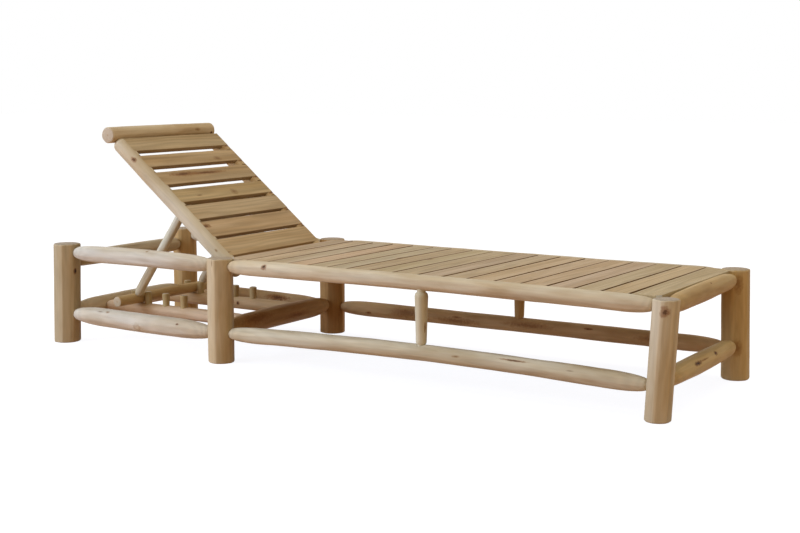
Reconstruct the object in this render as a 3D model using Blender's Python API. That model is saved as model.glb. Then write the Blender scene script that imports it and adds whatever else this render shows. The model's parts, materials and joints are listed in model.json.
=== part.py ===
# Sun lounger of peeled teak logs. Six legs carry round rails, tenoned at
# their bullet shaped ends. A slatted deck lies in the seat rails, and a slatted
# back turns on a rod between the middle legs. A prop hangs from the back, and
# its bar drops between the pegs of two rails under the head end.
# Metres, +Z up, +X to the foot end. The near side is -Y, the far side is +Y.

import math

import bmesh
import bpy
from mathutils import Vector

# Finishes: base colour and roughness
PEELED_LOG = ((0.59, 0.49, 0.37), 0.62)
SAWN_SLAT = ((0.42, 0.30, 0.17), 0.58)
DOWEL = ((0.45, 0.34, 0.21), 0.60)
SMOOTH_ANGLE = math.radians(35)

# Fits
CLEARANCE = 0.0003
BACK_SIDE_GAP = 0.002
SLAT_LEG_GAP = 0.0015

# Legs
LEG_HEIGHT = 0.306
HEAD_SPAN = 0.623
SEAT_SPAN = 1.351
LEG_SPACING = 0.572
NEAR_HEAD_LEG_RADIUS = 0.041
FAR_HEAD_LEG_RADIUS = 0.040
NEAR_MID_LEG_RADIUS = 0.0385
FAR_MID_LEG_RADIUS = 0.0405
NEAR_FOOT_LEG_RADIUS = 0.0325
FAR_FOOT_LEG_RADIUS = 0.0385
NEAR_HEAD_LEG_LEAN = 0.010
NEAR_FOOT_LEG_LEAN = 0.016
FAR_FOOT_LEG_LEAN = 0.008
NEAR_HEAD_LEG_EXTRA = 0.004
NEAR_FOOT_LEG_CUT = 0.004
LEG_EASE = 0.004
LEG_SIDES = 20

# Rails between the legs
UPPER_RAIL_DROP = 0.0227
LOWER_RAIL_HEIGHT = 0.0865
LOWER_HEAD_RAIL_FALL = 0.008
NEAR_LOWER_SEAT_BOW = 0.0125
HEAD_UPPER_CROSS_DROP = 0.051
FOOT_UPPER_CROSS_DROP = 0.0265
LOWER_CROSS_HEIGHT = 0.0955
UPPER_SEAT_RAIL_RADIUS = 0.0212
UPPER_HEAD_RAIL_RADIUS = 0.0265
LOWER_SEAT_RAIL_RADIUS = 0.0225
LOWER_HEAD_RAIL_RADIUS = 0.0290
HEAD_UPPER_CROSS_RADIUS = 0.0255
HEAD_LOWER_CROSS_RADIUS = 0.0290
MID_LOWER_CROSS_RADIUS = 0.0310
FOOT_UPPER_CROSS_RADIUS = 0.0255
FOOT_LOWER_CROSS_RADIUS = 0.0265
RAIL_SWELL = 0.0020
SEAT_RAIL_WAIST = 0.0020
UPPER_TAPER = 0.080
LOWER_TAPER = 0.115
CROSS_TAPER = 0.090
HEAD_UPPER_CROSS_TAPER = 0.030
TENON_RADIUS = 0.012
TENON_WALL = 0.0025
MOUTH_DEPTH = 0.0040
MOUTH_FLARE = 0.0010
RAIL_SIDES = 14
PEG_SIDES = 10

# Spindles between the seat rails
SPINDLE_TOP_RADIUS = 0.0185
SPINDLE_BOTTOM_RADIUS = 0.0145
SPINDLE_TOP_TAPER = 0.014
SPINDLE_FOOT_TAPER = 0.008
SPINDLE_TENON_RADIUS = 0.0115
SPINDLE_SHIFT = 0.006
SPINDLE_TENON_LENGTH = 0.013

# Deck
DECK_START = 0.016
DECK_LENGTH = 1.3290
DECK_SLAT_GAP = 0.0050
DECK_SLAT_THICKNESS = 0.013
SLAT_EASE = 0.0025
LEDGE_RISE = 0.0086
RABBET_INSET = 0.012
# Each deck slat's share of the run, and how far its far end lies footward of its near end, in mm per 415 mm
DECK_SHARES = (75, 75, 72, 72, 71, 64, 73, 70, 80, 74, 73, 80, 75, 75, 73, 75, 73, 79)
DECK_SLANTS = (0, 4, 8, 12, 16, 18, 19, 18, 16, 14, 13, 12, 11, 9, 6, 3, 0, -4)
SLANT_RUN = 415

# Back
BACK_ANGLE = math.radians(38.9)
HINGE_DROP = 0.0395
HINGE_ROD_RADIUS = 0.010
BACK_LENGTH = 0.598
BACK_RAIL_RADIUS = 0.0230
BACK_RAIL_TAPER = 0.016
BACK_TENON_RADIUS = 0.009
BACK_TENON_LENGTH = 0.016
BACK_SLAT_START = 0.0400
BACK_SLAT_THICKNESS = 0.018
BACK_SLAT_TOP = 0.0205
BACK_SLAT_SEAT = 0.023
# Back slats from the hinge up: the width of each and the gap after it
BACK_SLAT_WIDTHS = (0.0615, 0.0620, 0.0610, 0.0570, 0.0580, 0.0540, 0.0600)
BACK_SLAT_GAPS = (0.0165, 0.0150, 0.0160, 0.0220, 0.0230, 0.0210)
HEADREST_RADIUS = 0.0247
HEADREST_LENGTH = 0.488
HEADREST_SHIFT = 0.008
HEADREST_FAR_ROUND = 0.010
HEADREST_RISE = 0.009
HEADREST_EASE = 0.004

# Prop
RUNG_ALONG_BACK = 0.290
RUNG_DROP = 0.012
RUNG_RADIUS = 0.008
RUNG_SEAT = 0.015
STRUT_SPACING = 0.310
STRUT_RADIUS = 0.0140
STRUT_EYE_RADIUS = 0.0130
STRUT_TAPER = 0.020
STRUT_TENON_RADIUS = 0.008
STRUT_TENON_LENGTH = 0.012
BAR_RADIUS = 0.0165
BAR_LENGTH = 0.480
BAR_EASE = 0.003

# Peg rails
PEG_RAIL_SPACING = 0.256
PEG_RAIL_RADIUS = 0.0200
PEG_RAIL_TAPER = 0.040
PEG_RAIL_TENON_RADIUS = 0.010
PEG_RAIL_TENON_LENGTH = 0.015
PEG_RADIUS = 0.0105
PEG_HEIGHT = 0.037
PEG_FLARE = 0.0012
PEG_EASE = 0.002
FIRST_NOTCH = 0.05875
PEG_PITCH = 0.0725
PEG_COUNTS = {"near": 4, "far": 5}
FIRST_PEG_FROM_HEAD = 0.1440

# Places that follow from the sizes above
head_reach = max(NEAR_HEAD_LEG_RADIUS, FAR_HEAD_LEG_RADIUS)
near_foot_rim = LEG_HEIGHT - NEAR_FOOT_LEG_CUT - LEG_EASE
near_foot_reach = NEAR_FOOT_LEG_RADIUS + NEAR_FOOT_LEG_LEAN * near_foot_rim / LEG_HEIGHT
foot_reach = max(near_foot_reach, FAR_FOOT_LEG_RADIUS)
overall_length = head_reach + HEAD_SPAN + SEAT_SPAN + foot_reach
head_x = head_reach - overall_length / 2
mid_x = head_x + HEAD_SPAN
foot_x = mid_x + SEAT_SPAN
leg_y = LEG_SPACING / 2
upper_z = LEG_HEIGHT - UPPER_RAIL_DROP
ledge_z = upper_z + LEDGE_RISE
hinge_z = LEG_HEIGHT - HINGE_DROP
tenon_stop = TENON_RADIUS + TENON_WALL
back_rail_y = leg_y - max(NEAR_MID_LEG_RADIUS, FAR_MID_LEG_RADIUS) - BACK_SIDE_GAP - BACK_RAIL_RADIUS
peg_rail_top = LOWER_CROSS_HEIGHT + PEG_RAIL_RADIUS
first_peg_x = head_x + FIRST_PEG_FROM_HEAD
bar_x = first_peg_x + PEG_RADIUS + PEG_FLARE + BAR_RADIUS + CLEARANCE
bar_z = peg_rail_top + BAR_RADIUS + CLEARANCE

SIDES = {"near": -1, "far": 1}
# Legs: place of the foot, radius, how far the top leans to the foot end, height
LEGS = {
    "near_head": (head_x, -leg_y, NEAR_HEAD_LEG_RADIUS, NEAR_HEAD_LEG_LEAN, LEG_HEIGHT + NEAR_HEAD_LEG_EXTRA),
    "far_head": (head_x, leg_y, FAR_HEAD_LEG_RADIUS, 0.0, LEG_HEIGHT),
    "near_mid": (mid_x, -leg_y, NEAR_MID_LEG_RADIUS, 0.0, LEG_HEIGHT),
    "far_mid": (mid_x, leg_y, FAR_MID_LEG_RADIUS, 0.0, LEG_HEIGHT),
    "near_foot": (foot_x, -leg_y, NEAR_FOOT_LEG_RADIUS, NEAR_FOOT_LEG_LEAN, LEG_HEIGHT - NEAR_FOOT_LEG_CUT),
    "far_foot": (foot_x, leg_y, FAR_FOOT_LEG_RADIUS, -FAR_FOOT_LEG_LEAN, LEG_HEIGHT),
}
UP = Vector((0, 0, 1))
mortises = {}


def clear_scene():
    for old in list(bpy.data.objects):
        bpy.data.objects.remove(old, do_unlink=True)


def wood(name, finish):
    colour, roughness = finish
    material = bpy.data.materials.new(name)
    material.use_nodes = True
    shader = material.node_tree.nodes["Principled BSDF"]
    shader.inputs["Base Color"].default_value = (*colour, 1)
    shader.inputs["Roughness"].default_value = roughness
    shader.inputs["Metallic"].default_value = 0
    return material


def add_object(name, bm, material=None, parent=None):
    mesh = bpy.data.meshes.new(name)
    bm.to_mesh(mesh)
    bm.free()
    obj = bpy.data.objects.new(name, mesh)
    bpy.context.collection.objects.link(obj)
    obj.parent = parent
    if material:
        mesh.materials.append(material)
        mesh.shade_smooth()
        mesh.set_sharp_from_angle(angle=SMOOTH_ANGLE)
    return obj


def add_empty(name, location, turn, parent=None):
    empty = bpy.data.objects.new(name, None)
    bpy.context.collection.objects.link(empty)
    empty.parent = parent
    empty.location = location
    empty.rotation_euler = (0, turn, 0)
    return empty


def lathe(bm, profile, sides, origin=Vector(), direction=UP):
    # A closed round body: profile holds (distance along the axis, radius).
    turn = direction.to_track_quat("Z", "Y")
    rings = []
    for along, radius in profile:
        ring = []
        for step in range(sides):
            angle = 2 * math.pi * step / sides
            local = Vector((radius * math.cos(angle), radius * math.sin(angle), along))
            ring.append(bm.verts.new(origin + turn @ local))
        rings.append(ring)
    for low, high in zip(rings, rings[1:]):
        for step in range(sides):
            after = (step + 1) % sides
            bm.faces.new((low[step], low[after], high[after], high[step]))
    bm.faces.new(list(reversed(rings[0])))
    bm.faces.new(rings[-1])


def box(bm, low, high):
    corners = bmesh.ops.create_cube(bm, size=1)["verts"]
    for vert in corners:
        for axis in range(3):
            vert.co[axis] = high[axis] if vert.co[axis] > 0 else low[axis]


def log(name, profile, sides, start, direction, material, parent=None, bow=0.0):
    # A turned piece along its own +Z, placed by its location and rotation. It may bow upwards.
    bm = bmesh.new()
    lathe(bm, profile, sides)
    low = profile[1][0]
    high = profile[-2][0]
    for vert in bm.verts:
        share = min(max((vert.co.z - low) / (high - low), 0), 1)
        vert.co.y += bow * math.sin(math.pi * share)
    obj = add_object(name, bm, material, parent)
    obj.location = start
    obj.rotation_mode = "QUATERNION"
    obj.rotation_quaternion = direction.to_track_quat("Z", "Y")
    return obj


def boolean(target, tool, operation):
    tool.hide_render = True
    tool.hide_set(True)
    tool.display_type = "WIRE"
    modifier = target.modifiers.new(operation.lower(), "BOOLEAN")
    modifier.operation = operation
    modifier.solver = "EXACT"
    modifier.object = tool


def bullet(start_radius, end_radius, taper, steps=3):
    # Quarter ellipse that swells from the tip of a log to its full girth.
    points = []
    for step in range(steps + 1):
        angle = math.pi / 2 * step / steps
        radius = start_radius + (end_radius - start_radius) * math.sin(angle)
        points.append((taper * (1 - math.cos(angle)), radius))
    return points


def eased_profile(length, radius, ease):
    # An even round piece whose two rims are eased.
    return [(0, radius - ease), (ease, radius), (length - ease, radius), (length, radius - ease)]


def ball_end(radius):
    # Round end about an eye, with a small flat at its tip.
    angles = (math.pi / 10, math.pi / 4, math.pi / 2)
    return [(-radius * math.cos(angle), radius * math.sin(angle)) for angle in angles]


def log_profile(length, girth, tip, taper, tenons, swell=RAIL_SWELL):
    # Tenon, bullet end, swollen middle, bullet end, tenon.
    neck = girth - swell
    end = bullet(tip, neck, taper, steps=4)
    profile = [(-tenons[0], tip)] + end
    rings = 6 if length > 1 else 4
    for ring in range(1, rings):
        share = ring / rings
        along = taper + (length - 2 * taper) * share
        profile.append((along, neck + swell * math.sin(math.pi * share)))
    profile += [(length - along, radius) for along, radius in reversed(end)]
    profile.append((length + tenons[1], tip))
    return profile


def mortise(owner, mouth, direction, depth, radius):
    # Blind round hole with a flared mouth, kept for the piece it is cut in.
    # The mouth is on the surface, and the flare runs on past it.
    bore = radius + CLEARANCE
    outside = 2 * MOUTH_DEPTH
    rim = bore + MOUTH_FLARE * (MOUTH_DEPTH + outside) / MOUTH_DEPTH
    profile = [(-depth - CLEARANCE, bore), (-MOUTH_DEPTH, bore), (outside, rim)]
    mortises.setdefault(owner, []).append((profile, Vector(mouth), direction))


def cut_mortises(obj):
    if obj.name not in mortises:
        return
    bm = bmesh.new()
    for profile, mouth, direction in mortises[obj.name]:
        lathe(bm, profile, RAIL_SIDES, mouth, direction)
    boolean(obj, add_object("cut_" + obj.name, bm), "DIFFERENCE")


def leg_axis(name, z):
    x, y, _, lean, _ = LEGS[name]
    return Vector((x + lean * z / LEG_HEIGHT, y, z))


def cross_x(end, y):
    # Where the axis of a lower cross rail runs, between two legs that may lean
    near = leg_axis("near_" + end, LOWER_CROSS_HEIGHT).x
    far = leg_axis("far_" + end, LOWER_CROSS_HEIGHT).x
    return near + (far - near) * (y + leg_y) / LEG_SPACING


def build_legs(material):
    for name, (x, y, radius, lean, height) in LEGS.items():
        bm = bmesh.new()
        lathe(bm, eased_profile(height, radius, LEG_EASE), LEG_SIDES)
        for vert in bm.verts:
            vert.co.x += lean * vert.co.z / LEG_HEIGHT
        leg = add_object("leg_" + name, bm, material)
        leg.location = (x, y, 0)
        cut_mortises(leg)


def build_rail(name, first, last, heights, girth, taper, material, swell=RAIL_SWELL, bow=0.0):
    # A log between two legs, with a round tenon in a blind mortise at each end.
    start = leg_axis(first, heights[0])
    end = leg_axis(last, heights[1])
    direction = (end - start).normalized()
    first_radius = LEGS[first][2]
    last_radius = LEGS[last][2]
    length = (end - start).length - first_radius - last_radius
    tenons = (first_radius - tenon_stop, last_radius - tenon_stop)
    profile = log_profile(length, girth, TENON_RADIUS, taper, tenons, swell)
    mouth = start + direction * first_radius
    mortise("leg_" + first, mouth, direction, tenons[0], TENON_RADIUS)
    mortise("leg_" + last, end - direction * last_radius, -direction, tenons[1], TENON_RADIUS)
    return log(name, profile, RAIL_SIDES, mouth, direction, material, bow=bow)


def build_side_rails(material):
    upper = (upper_z, upper_z)
    lower = (LOWER_RAIL_HEIGHT, LOWER_RAIL_HEIGHT)
    falling = (LOWER_RAIL_HEIGHT + LOWER_HEAD_RAIL_FALL / 2, LOWER_RAIL_HEIGHT - LOWER_HEAD_RAIL_FALL / 2)
    rails = (
        ("upper_head", "head", "mid", upper, UPPER_HEAD_RAIL_RADIUS, UPPER_TAPER, RAIL_SWELL),
        ("upper_seat", "mid", "foot", upper, UPPER_SEAT_RAIL_RADIUS, UPPER_TAPER, -SEAT_RAIL_WAIST),
        ("lower_head", "head", "mid", falling, LOWER_HEAD_RAIL_RADIUS, LOWER_TAPER, RAIL_SWELL),
        ("lower_seat", "mid", "foot", lower, LOWER_SEAT_RAIL_RADIUS, LOWER_TAPER, -SEAT_RAIL_WAIST),
    )
    for side in SIDES:
        for label, first, last, heights, girth, taper, swell in rails:
            name = f"rail_{side}_{label}"
            first_leg = f"{side}_{first}"
            last_leg = f"{side}_{last}"
            bow = seat_bow(side) if label == "lower_seat" else 0.0
            rail = build_rail(name, first_leg, last_leg, heights, girth, taper, material, swell, bow)
            if label == "upper_seat":
                cut_rabbet(rail, side)
            cut_mortises(rail)


def seat_bow(side):
    # The near lower seat rail is a log that bows upwards.
    return NEAR_LOWER_SEAT_BOW if side == "near" else 0.0


def cut_rabbet(rail, side):
    # The slats lie on this ledge, inside the lip that the log's outer half leaves.
    sign = SIDES[side]
    wall = sign * (leg_y - RABBET_INSET)
    reach = sign * (leg_y - 2 * UPPER_SEAT_RAIL_RADIUS)
    top = upper_z + 2 * UPPER_SEAT_RAIL_RADIUS
    bm = bmesh.new()
    box(bm, (mid_x, min(wall, reach), ledge_z), (foot_x, max(wall, reach), top))
    boolean(rail, add_object(f"cut_rabbet_{side}", bm), "DIFFERENCE")


def build_cross_rails(material):
    rails = (
        ("head_upper", "head", LEG_HEIGHT - HEAD_UPPER_CROSS_DROP, HEAD_UPPER_CROSS_RADIUS, HEAD_UPPER_CROSS_TAPER),
        ("head_lower", "head", LOWER_CROSS_HEIGHT, HEAD_LOWER_CROSS_RADIUS, CROSS_TAPER),
        ("mid_lower", "mid", LOWER_CROSS_HEIGHT, MID_LOWER_CROSS_RADIUS, CROSS_TAPER),
        ("foot_upper", "foot", LEG_HEIGHT - FOOT_UPPER_CROSS_DROP, FOOT_UPPER_CROSS_RADIUS, CROSS_TAPER),
        ("foot_lower", "foot", LOWER_CROSS_HEIGHT, FOOT_LOWER_CROSS_RADIUS, CROSS_TAPER),
    )
    for label, end, z, girth, taper in rails:
        rail = build_rail("cross_" + label, "near_" + end, "far_" + end, (z, z), girth, taper, material)
        if label == "foot_upper":
            cut_foot_ledge(rail)
        cut_mortises(rail)


def cut_foot_ledge(rail):
    # The last slat lies on this ledge, with the rest of the log standing behind it.
    x, width, turn = deck_places()[-1]
    bm = bmesh.new()
    box(bm, (-width, -leg_y, 0), (width / 2 + SLAT_LEG_GAP, leg_y, 4 * FOOT_UPPER_CROSS_RADIUS))
    cutter = add_object("cut_foot_ledge", bm)
    cutter.location = (x, 0, ledge_z)
    cutter.rotation_euler = (0, 0, turn)
    boolean(rail, cutter, "DIFFERENCE")


def build_spindles(material):
    high = upper_z - UPPER_SEAT_RAIL_RADIUS
    x = (mid_x + foot_x) / 2 + SPINDLE_SHIFT
    for side, sign in SIDES.items():
        low = LOWER_RAIL_HEIGHT + LOWER_SEAT_RAIL_RADIUS + seat_bow(side)
        length = high - low
        profile = [(-SPINDLE_TENON_LENGTH, SPINDLE_TENON_RADIUS)]
        profile += bullet(SPINDLE_TENON_RADIUS, SPINDLE_BOTTOM_RADIUS, SPINDLE_FOOT_TAPER, 2)
        top = bullet(SPINDLE_TENON_RADIUS, SPINDLE_TOP_RADIUS, SPINDLE_TOP_TAPER, 2)
        profile += [(length - along, radius) for along, radius in reversed(top)]
        profile.append((length + SPINDLE_TENON_LENGTH, SPINDLE_TENON_RADIUS))
        y = sign * leg_y
        mortise(f"rail_{side}_lower_seat", (x, y, low), UP, SPINDLE_TENON_LENGTH, SPINDLE_TENON_RADIUS)
        mortise(f"rail_{side}_upper_seat", (x, y, high), -UP, SPINDLE_TENON_LENGTH, SPINDLE_TENON_RADIUS)
        log("spindle_" + side, profile, RAIL_SIDES, Vector((x, y, low)), UP, material)


def board(name, width, thickness, length, material, parent=None):
    # A slat across the lounger: centred on X and Y, its underside at Z 0,
    # with all four long edges eased.
    half = width / 2
    ease = min(SLAT_EASE, thickness / 3)
    outline = [
        (-half + ease, 0), (half - ease, 0), (half, ease), (half, thickness - ease),
        (half - ease, thickness), (-half + ease, thickness), (-half, thickness - ease), (-half, ease),
    ]
    bm = bmesh.new()
    near = [bm.verts.new((x, -length / 2, z)) for x, z in outline]
    far = [bm.verts.new((x, length / 2, z)) for x, z in outline]
    bm.faces.new(near)
    bm.faces.new(list(reversed(far)))
    for index in range(len(outline)):
        after = (index + 1) % len(outline)
        bm.faces.new((near[after], near[index], far[index], far[after]))
    return add_object(name, bm, material, parent)


def deck_places():
    # Middle, width and turn of each deck slat: the shares divide the run from the mid legs.
    unit = DECK_LENGTH / sum(DECK_SHARES)
    start = mid_x + DECK_START
    places = []
    for share, slant in zip(DECK_SHARES, DECK_SLANTS):
        run = share * unit
        places.append((start + run / 2, run - DECK_SLAT_GAP, -math.atan(slant / SLANT_RUN)))
        start += run
    return places


def back_places():
    # Middle and width of each back slat, measured up the back from the hinge
    start = BACK_SLAT_START
    places = []
    for width, gap in zip(BACK_SLAT_WIDTHS, BACK_SLAT_GAPS + (0.0,)):
        places.append((start + width / 2, width))
        start += width + gap
    return places


def leg_clearance_cutter(end):
    # Scoops the corners of the outer slats round the legs beside them.
    bm = bmesh.new()
    for side in SIDES:
        leg = f"{side}_{end}"
        radius = LEGS[leg][2] + SLAT_LEG_GAP
        low = leg_axis(leg, ledge_z) - UP * DECK_SLAT_THICKNESS
        lathe(bm, [(0, radius), (3 * DECK_SLAT_THICKNESS, radius)], LEG_SIDES, low)
    return add_object("cut_slat_" + end, bm)


def build_deck(material):
    reach = leg_y - RABBET_INSET - CLEARANCE
    slats = []
    for index, (x, width, turn) in enumerate(deck_places()):
        name = f"deck_slat_{index + 1:02d}"
        length = 2 * (reach - width / 2 * abs(math.sin(turn))) / math.cos(turn)
        slat = board(name, width, DECK_SLAT_THICKNESS, length, material)
        slat.location = (x, 0, ledge_z + CLEARANCE)
        slat.rotation_euler = (0, 0, turn)
        slats.append(slat)
    boolean(slats[0], leg_clearance_cutter("mid"), "DIFFERENCE")
    boolean(slats[-1], leg_clearance_cutter("foot"), "DIFFERENCE")


def build_peg_rails(rail_material, peg_material):
    # The pegs are glued into their rail, so each rail and its pegs are one body.
    tenons = (PEG_RAIL_TENON_LENGTH, PEG_RAIL_TENON_LENGTH)
    along = Vector((1, 0, 0))
    for side, sign in SIDES.items():
        y = sign * PEG_RAIL_SPACING / 2
        start = cross_x("head", y) + HEAD_LOWER_CROSS_RADIUS
        length = cross_x("mid", y) - MID_LOWER_CROSS_RADIUS - start
        profile = log_profile(length, PEG_RAIL_RADIUS, PEG_RAIL_TENON_RADIUS, PEG_RAIL_TAPER, tenons, swell=0)
        mouth = Vector((start, y, LOWER_CROSS_HEIGHT))
        end = mouth + along * length
        mortise("cross_head_lower", mouth, along, PEG_RAIL_TENON_LENGTH, PEG_RAIL_TENON_RADIUS)
        mortise("cross_mid_lower", end, -along, PEG_RAIL_TENON_LENGTH, PEG_RAIL_TENON_RADIUS)
        rail = log("peg_rail_" + side, profile, RAIL_SIDES, mouth, along, rail_material)
        boolean(rail, peg_row(side, y, peg_material), "UNION")


def peg_row(side, y, material):
    # Pegs flare a little to the top, where the edge is eased.
    height = PEG_RAIL_RADIUS + PEG_HEIGHT
    profile = [
        (0, PEG_RADIUS),
        (height - PEG_EASE, PEG_RADIUS + PEG_FLARE),
        (height, PEG_RADIUS + PEG_FLARE - PEG_EASE),
    ]
    bm = bmesh.new()
    places = [0] + [FIRST_NOTCH + PEG_PITCH * index for index in range(PEG_COUNTS[side] - 1)]
    for place in places:
        x = first_peg_x + place
        lathe(bm, profile, PEG_SIDES, Vector((x, y, LOWER_CROSS_HEIGHT)))
    return add_object("pegs_" + side, bm, material)


def build_hinge_rod(material):
    # The rod stands in a blind hole in each middle leg and passes both back rails.
    across = Vector((0, 1, 0))
    start = Vector((mid_x, -leg_y + tenon_stop, hinge_z))
    length = 2 * (leg_y - tenon_stop)
    profile = [(0, HINGE_ROD_RADIUS), (length, HINGE_ROD_RADIUS)]
    for side, sign in SIDES.items():
        radius = LEGS[side + "_mid"][2]
        mouth = (mid_x, sign * (leg_y - radius), hinge_z)
        mortise(f"leg_{side}_mid", mouth, -sign * across, radius - tenon_stop, HINGE_ROD_RADIUS)
    log("hinge_rod", profile, RAIL_SIDES, start, across, material)


def back_rail_profile():
    # Rounded foot about the hinge, even log, tapered neck, tenon in the headrest.
    shoulder = BACK_LENGTH - HEADREST_RADIUS - CLEARANCE
    neck = bullet(BACK_TENON_RADIUS, BACK_RAIL_RADIUS, BACK_RAIL_TAPER)
    profile = ball_end(BACK_RAIL_RADIUS) + [(BACK_LENGTH / 2, BACK_RAIL_RADIUS)]
    profile += [(shoulder - along, radius) for along, radius in reversed(neck)]
    profile.append((shoulder + BACK_TENON_LENGTH, BACK_TENON_RADIUS))
    return profile


def build_back(log_material, slat_material, dowel_material):
    # The back is laid out flat, pointing to -X, and its empty turns it up.
    hinge = add_empty("back_hinge", (mid_x, 0, hinge_z), BACK_ANGLE)
    shoulder = BACK_LENGTH - HEADREST_RADIUS - CLEARANCE
    up_the_back = Vector((-1, 0, 0))
    across = Vector((0, 1, 0))
    slat_reach = back_rail_y - BACK_RAIL_RADIUS + BACK_SLAT_SEAT
    slat_low = BACK_SLAT_TOP - BACK_SLAT_THICKNESS
    for index, (place, width) in enumerate(back_places()):
        name = f"back_slat_{index + 1}"
        slat = board(name, width, BACK_SLAT_THICKNESS, 2 * slat_reach, slat_material, hinge)
        slat.location = (-place, 0, slat_low)

    profile = back_rail_profile()
    for side, sign in SIDES.items():
        foot = Vector((0, sign * back_rail_y, 0))
        rail = log("back_rail_" + side, profile, RAIL_SIDES, foot, up_the_back, log_material, hinge)
        cutter = back_rail_cutter(side, sign, slat_reach, slat_low)
        cutter.parent = hinge
        boolean(rail, cutter, "DIFFERENCE")

    rung_reach = back_rail_y - BACK_RAIL_RADIUS + RUNG_SEAT
    rung_start = Vector((-RUNG_ALONG_BACK, -rung_reach, -RUNG_DROP))
    rung_profile = [(0, RUNG_RADIUS), (2 * rung_reach, RUNG_RADIUS)]
    log("prop_rung", rung_profile, RAIL_SIDES, rung_start, across, dowel_material, hinge)

    far_end = bullet(HEADREST_RADIUS - HEADREST_FAR_ROUND, HEADREST_RADIUS, HEADREST_FAR_ROUND)
    head_profile = [(0, HEADREST_RADIUS - HEADREST_EASE), (HEADREST_EASE, HEADREST_RADIUS)]
    head_profile += [(HEADREST_LENGTH - along, radius) for along, radius in reversed(far_end)]
    head_start = Vector((-BACK_LENGTH, -HEADREST_LENGTH / 2 - HEADREST_SHIFT, HEADREST_RISE))
    headrest = log("headrest_log", head_profile, RAIL_SIDES, head_start, across, log_material, hinge)
    for sign in SIDES.values():
        mouth = (-shoulder, sign * back_rail_y, 0)
        mortise("headrest_log", mouth, -up_the_back, BACK_TENON_LENGTH, BACK_TENON_RADIUS)
    cut_mortises(headrest)
    bpy.data.objects["cut_headrest_log"].parent = hinge
    return hinge


def back_rail_cutter(side, sign, slat_reach, slat_low):
    # Open notches for the slats, the hinge bore and the blind hole for the rung.
    inner = sign * (back_rail_y - 2 * BACK_RAIL_RADIUS)
    floor = sign * (slat_reach + CLEARANCE)
    across = Vector((0, sign, 0))
    bm = bmesh.new()
    for place, width in back_places():
        half = width / 2 + CLEARANCE
        low = (-place - half, min(inner, floor), slat_low - CLEARANCE)
        high = (-place + half, max(inner, floor), 2 * BACK_RAIL_RADIUS)
        box(bm, low, high)
    bore = HINGE_ROD_RADIUS + CLEARANCE
    bore_start = Vector((0, inner, 0))
    lathe(bm, [(0, bore), (4 * BACK_RAIL_RADIUS, bore)], RAIL_SIDES, bore_start, across)
    rung_hole = RUNG_RADIUS + CLEARANCE
    rung_depth = BACK_RAIL_RADIUS + RUNG_SEAT + CLEARANCE
    rung_start = Vector((-RUNG_ALONG_BACK, inner, -RUNG_DROP))
    lathe(bm, [(0, rung_hole), (rung_depth, rung_hole)], RAIL_SIDES, rung_start, across)
    return add_object("cut_back_rail_" + side, bm)


def prop_pivot_place():
    # World place of the rung's axis on the turned back.
    up_the_back = Vector((-math.cos(BACK_ANGLE), 0, math.sin(BACK_ANGLE)))
    off_the_back = Vector((math.sin(BACK_ANGLE), 0, math.cos(BACK_ANGLE)))
    hinge = Vector((mid_x, 0, hinge_z))
    return hinge + up_the_back * RUNG_ALONG_BACK - off_the_back * RUNG_DROP


def build_prop(hinge, material):
    # The prop is laid out hanging straight down, and its empty swings it to the bar.
    reach = Vector((bar_x, 0, bar_z)) - prop_pivot_place()
    drop = reach.length
    swing = math.atan2(-reach.x, -reach.z)
    pivot_place = (-RUNG_ALONG_BACK, 0, -RUNG_DROP)
    pivot = add_empty("prop_pivot", pivot_place, swing - BACK_ANGLE, hinge)
    across = Vector((0, 1, 0))

    shoulder = drop - BAR_RADIUS - CLEARANCE
    foot = bullet(STRUT_TENON_RADIUS, STRUT_RADIUS, STRUT_TAPER)
    profile = ball_end(STRUT_EYE_RADIUS) + [(drop / 2, STRUT_RADIUS)]
    profile += [(shoulder - along, radius) for along, radius in reversed(foot)]
    profile.append((shoulder + STRUT_TENON_LENGTH, STRUT_TENON_RADIUS))

    for side, sign in SIDES.items():
        y = sign * STRUT_SPACING / 2
        strut = log("prop_strut_" + side, profile, RAIL_SIDES, Vector((0, y, 0)), -UP, material, pivot)
        bm = bmesh.new()
        bore = RUNG_RADIUS + CLEARANCE
        bore_start = Vector((0, y - 2 * STRUT_RADIUS, 0))
        lathe(bm, [(0, bore), (4 * STRUT_RADIUS, bore)], RAIL_SIDES, bore_start, across)
        cutter = add_object("cut_prop_strut_" + side, bm, parent=pivot)
        boolean(strut, cutter, "DIFFERENCE")
        mortise("prop_bar", (0, y, -shoulder), UP, STRUT_TENON_LENGTH, STRUT_TENON_RADIUS)

    bar_profile = eased_profile(BAR_LENGTH, BAR_RADIUS, BAR_EASE)
    bar_start = Vector((0, -BAR_LENGTH / 2, -drop))
    bar = log("prop_bar", bar_profile, RAIL_SIDES, bar_start, across, material, pivot)
    cut_mortises(bar)
    bpy.data.objects["cut_prop_bar"].parent = pivot


def main():
    clear_scene()
    peeled_log = wood("peeled log", PEELED_LOG)
    sawn_slat = wood("sawn slat", SAWN_SLAT)
    dowel = wood("dowel", DOWEL)
    build_spindles(peeled_log)
    build_peg_rails(peeled_log, dowel)
    build_hinge_rod(dowel)
    build_side_rails(peeled_log)
    build_cross_rails(peeled_log)
    build_legs(peeled_log)
    build_deck(sawn_slat)
    hinge = build_back(peeled_log, sawn_slat, dowel)
    build_prop(hinge, peeled_log)
    bpy.context.view_layer.update()


main()
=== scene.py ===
import json
import math
import random

import bmesh
import bpy
import numpy as np
from mathutils import Matrix, Vector


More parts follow.
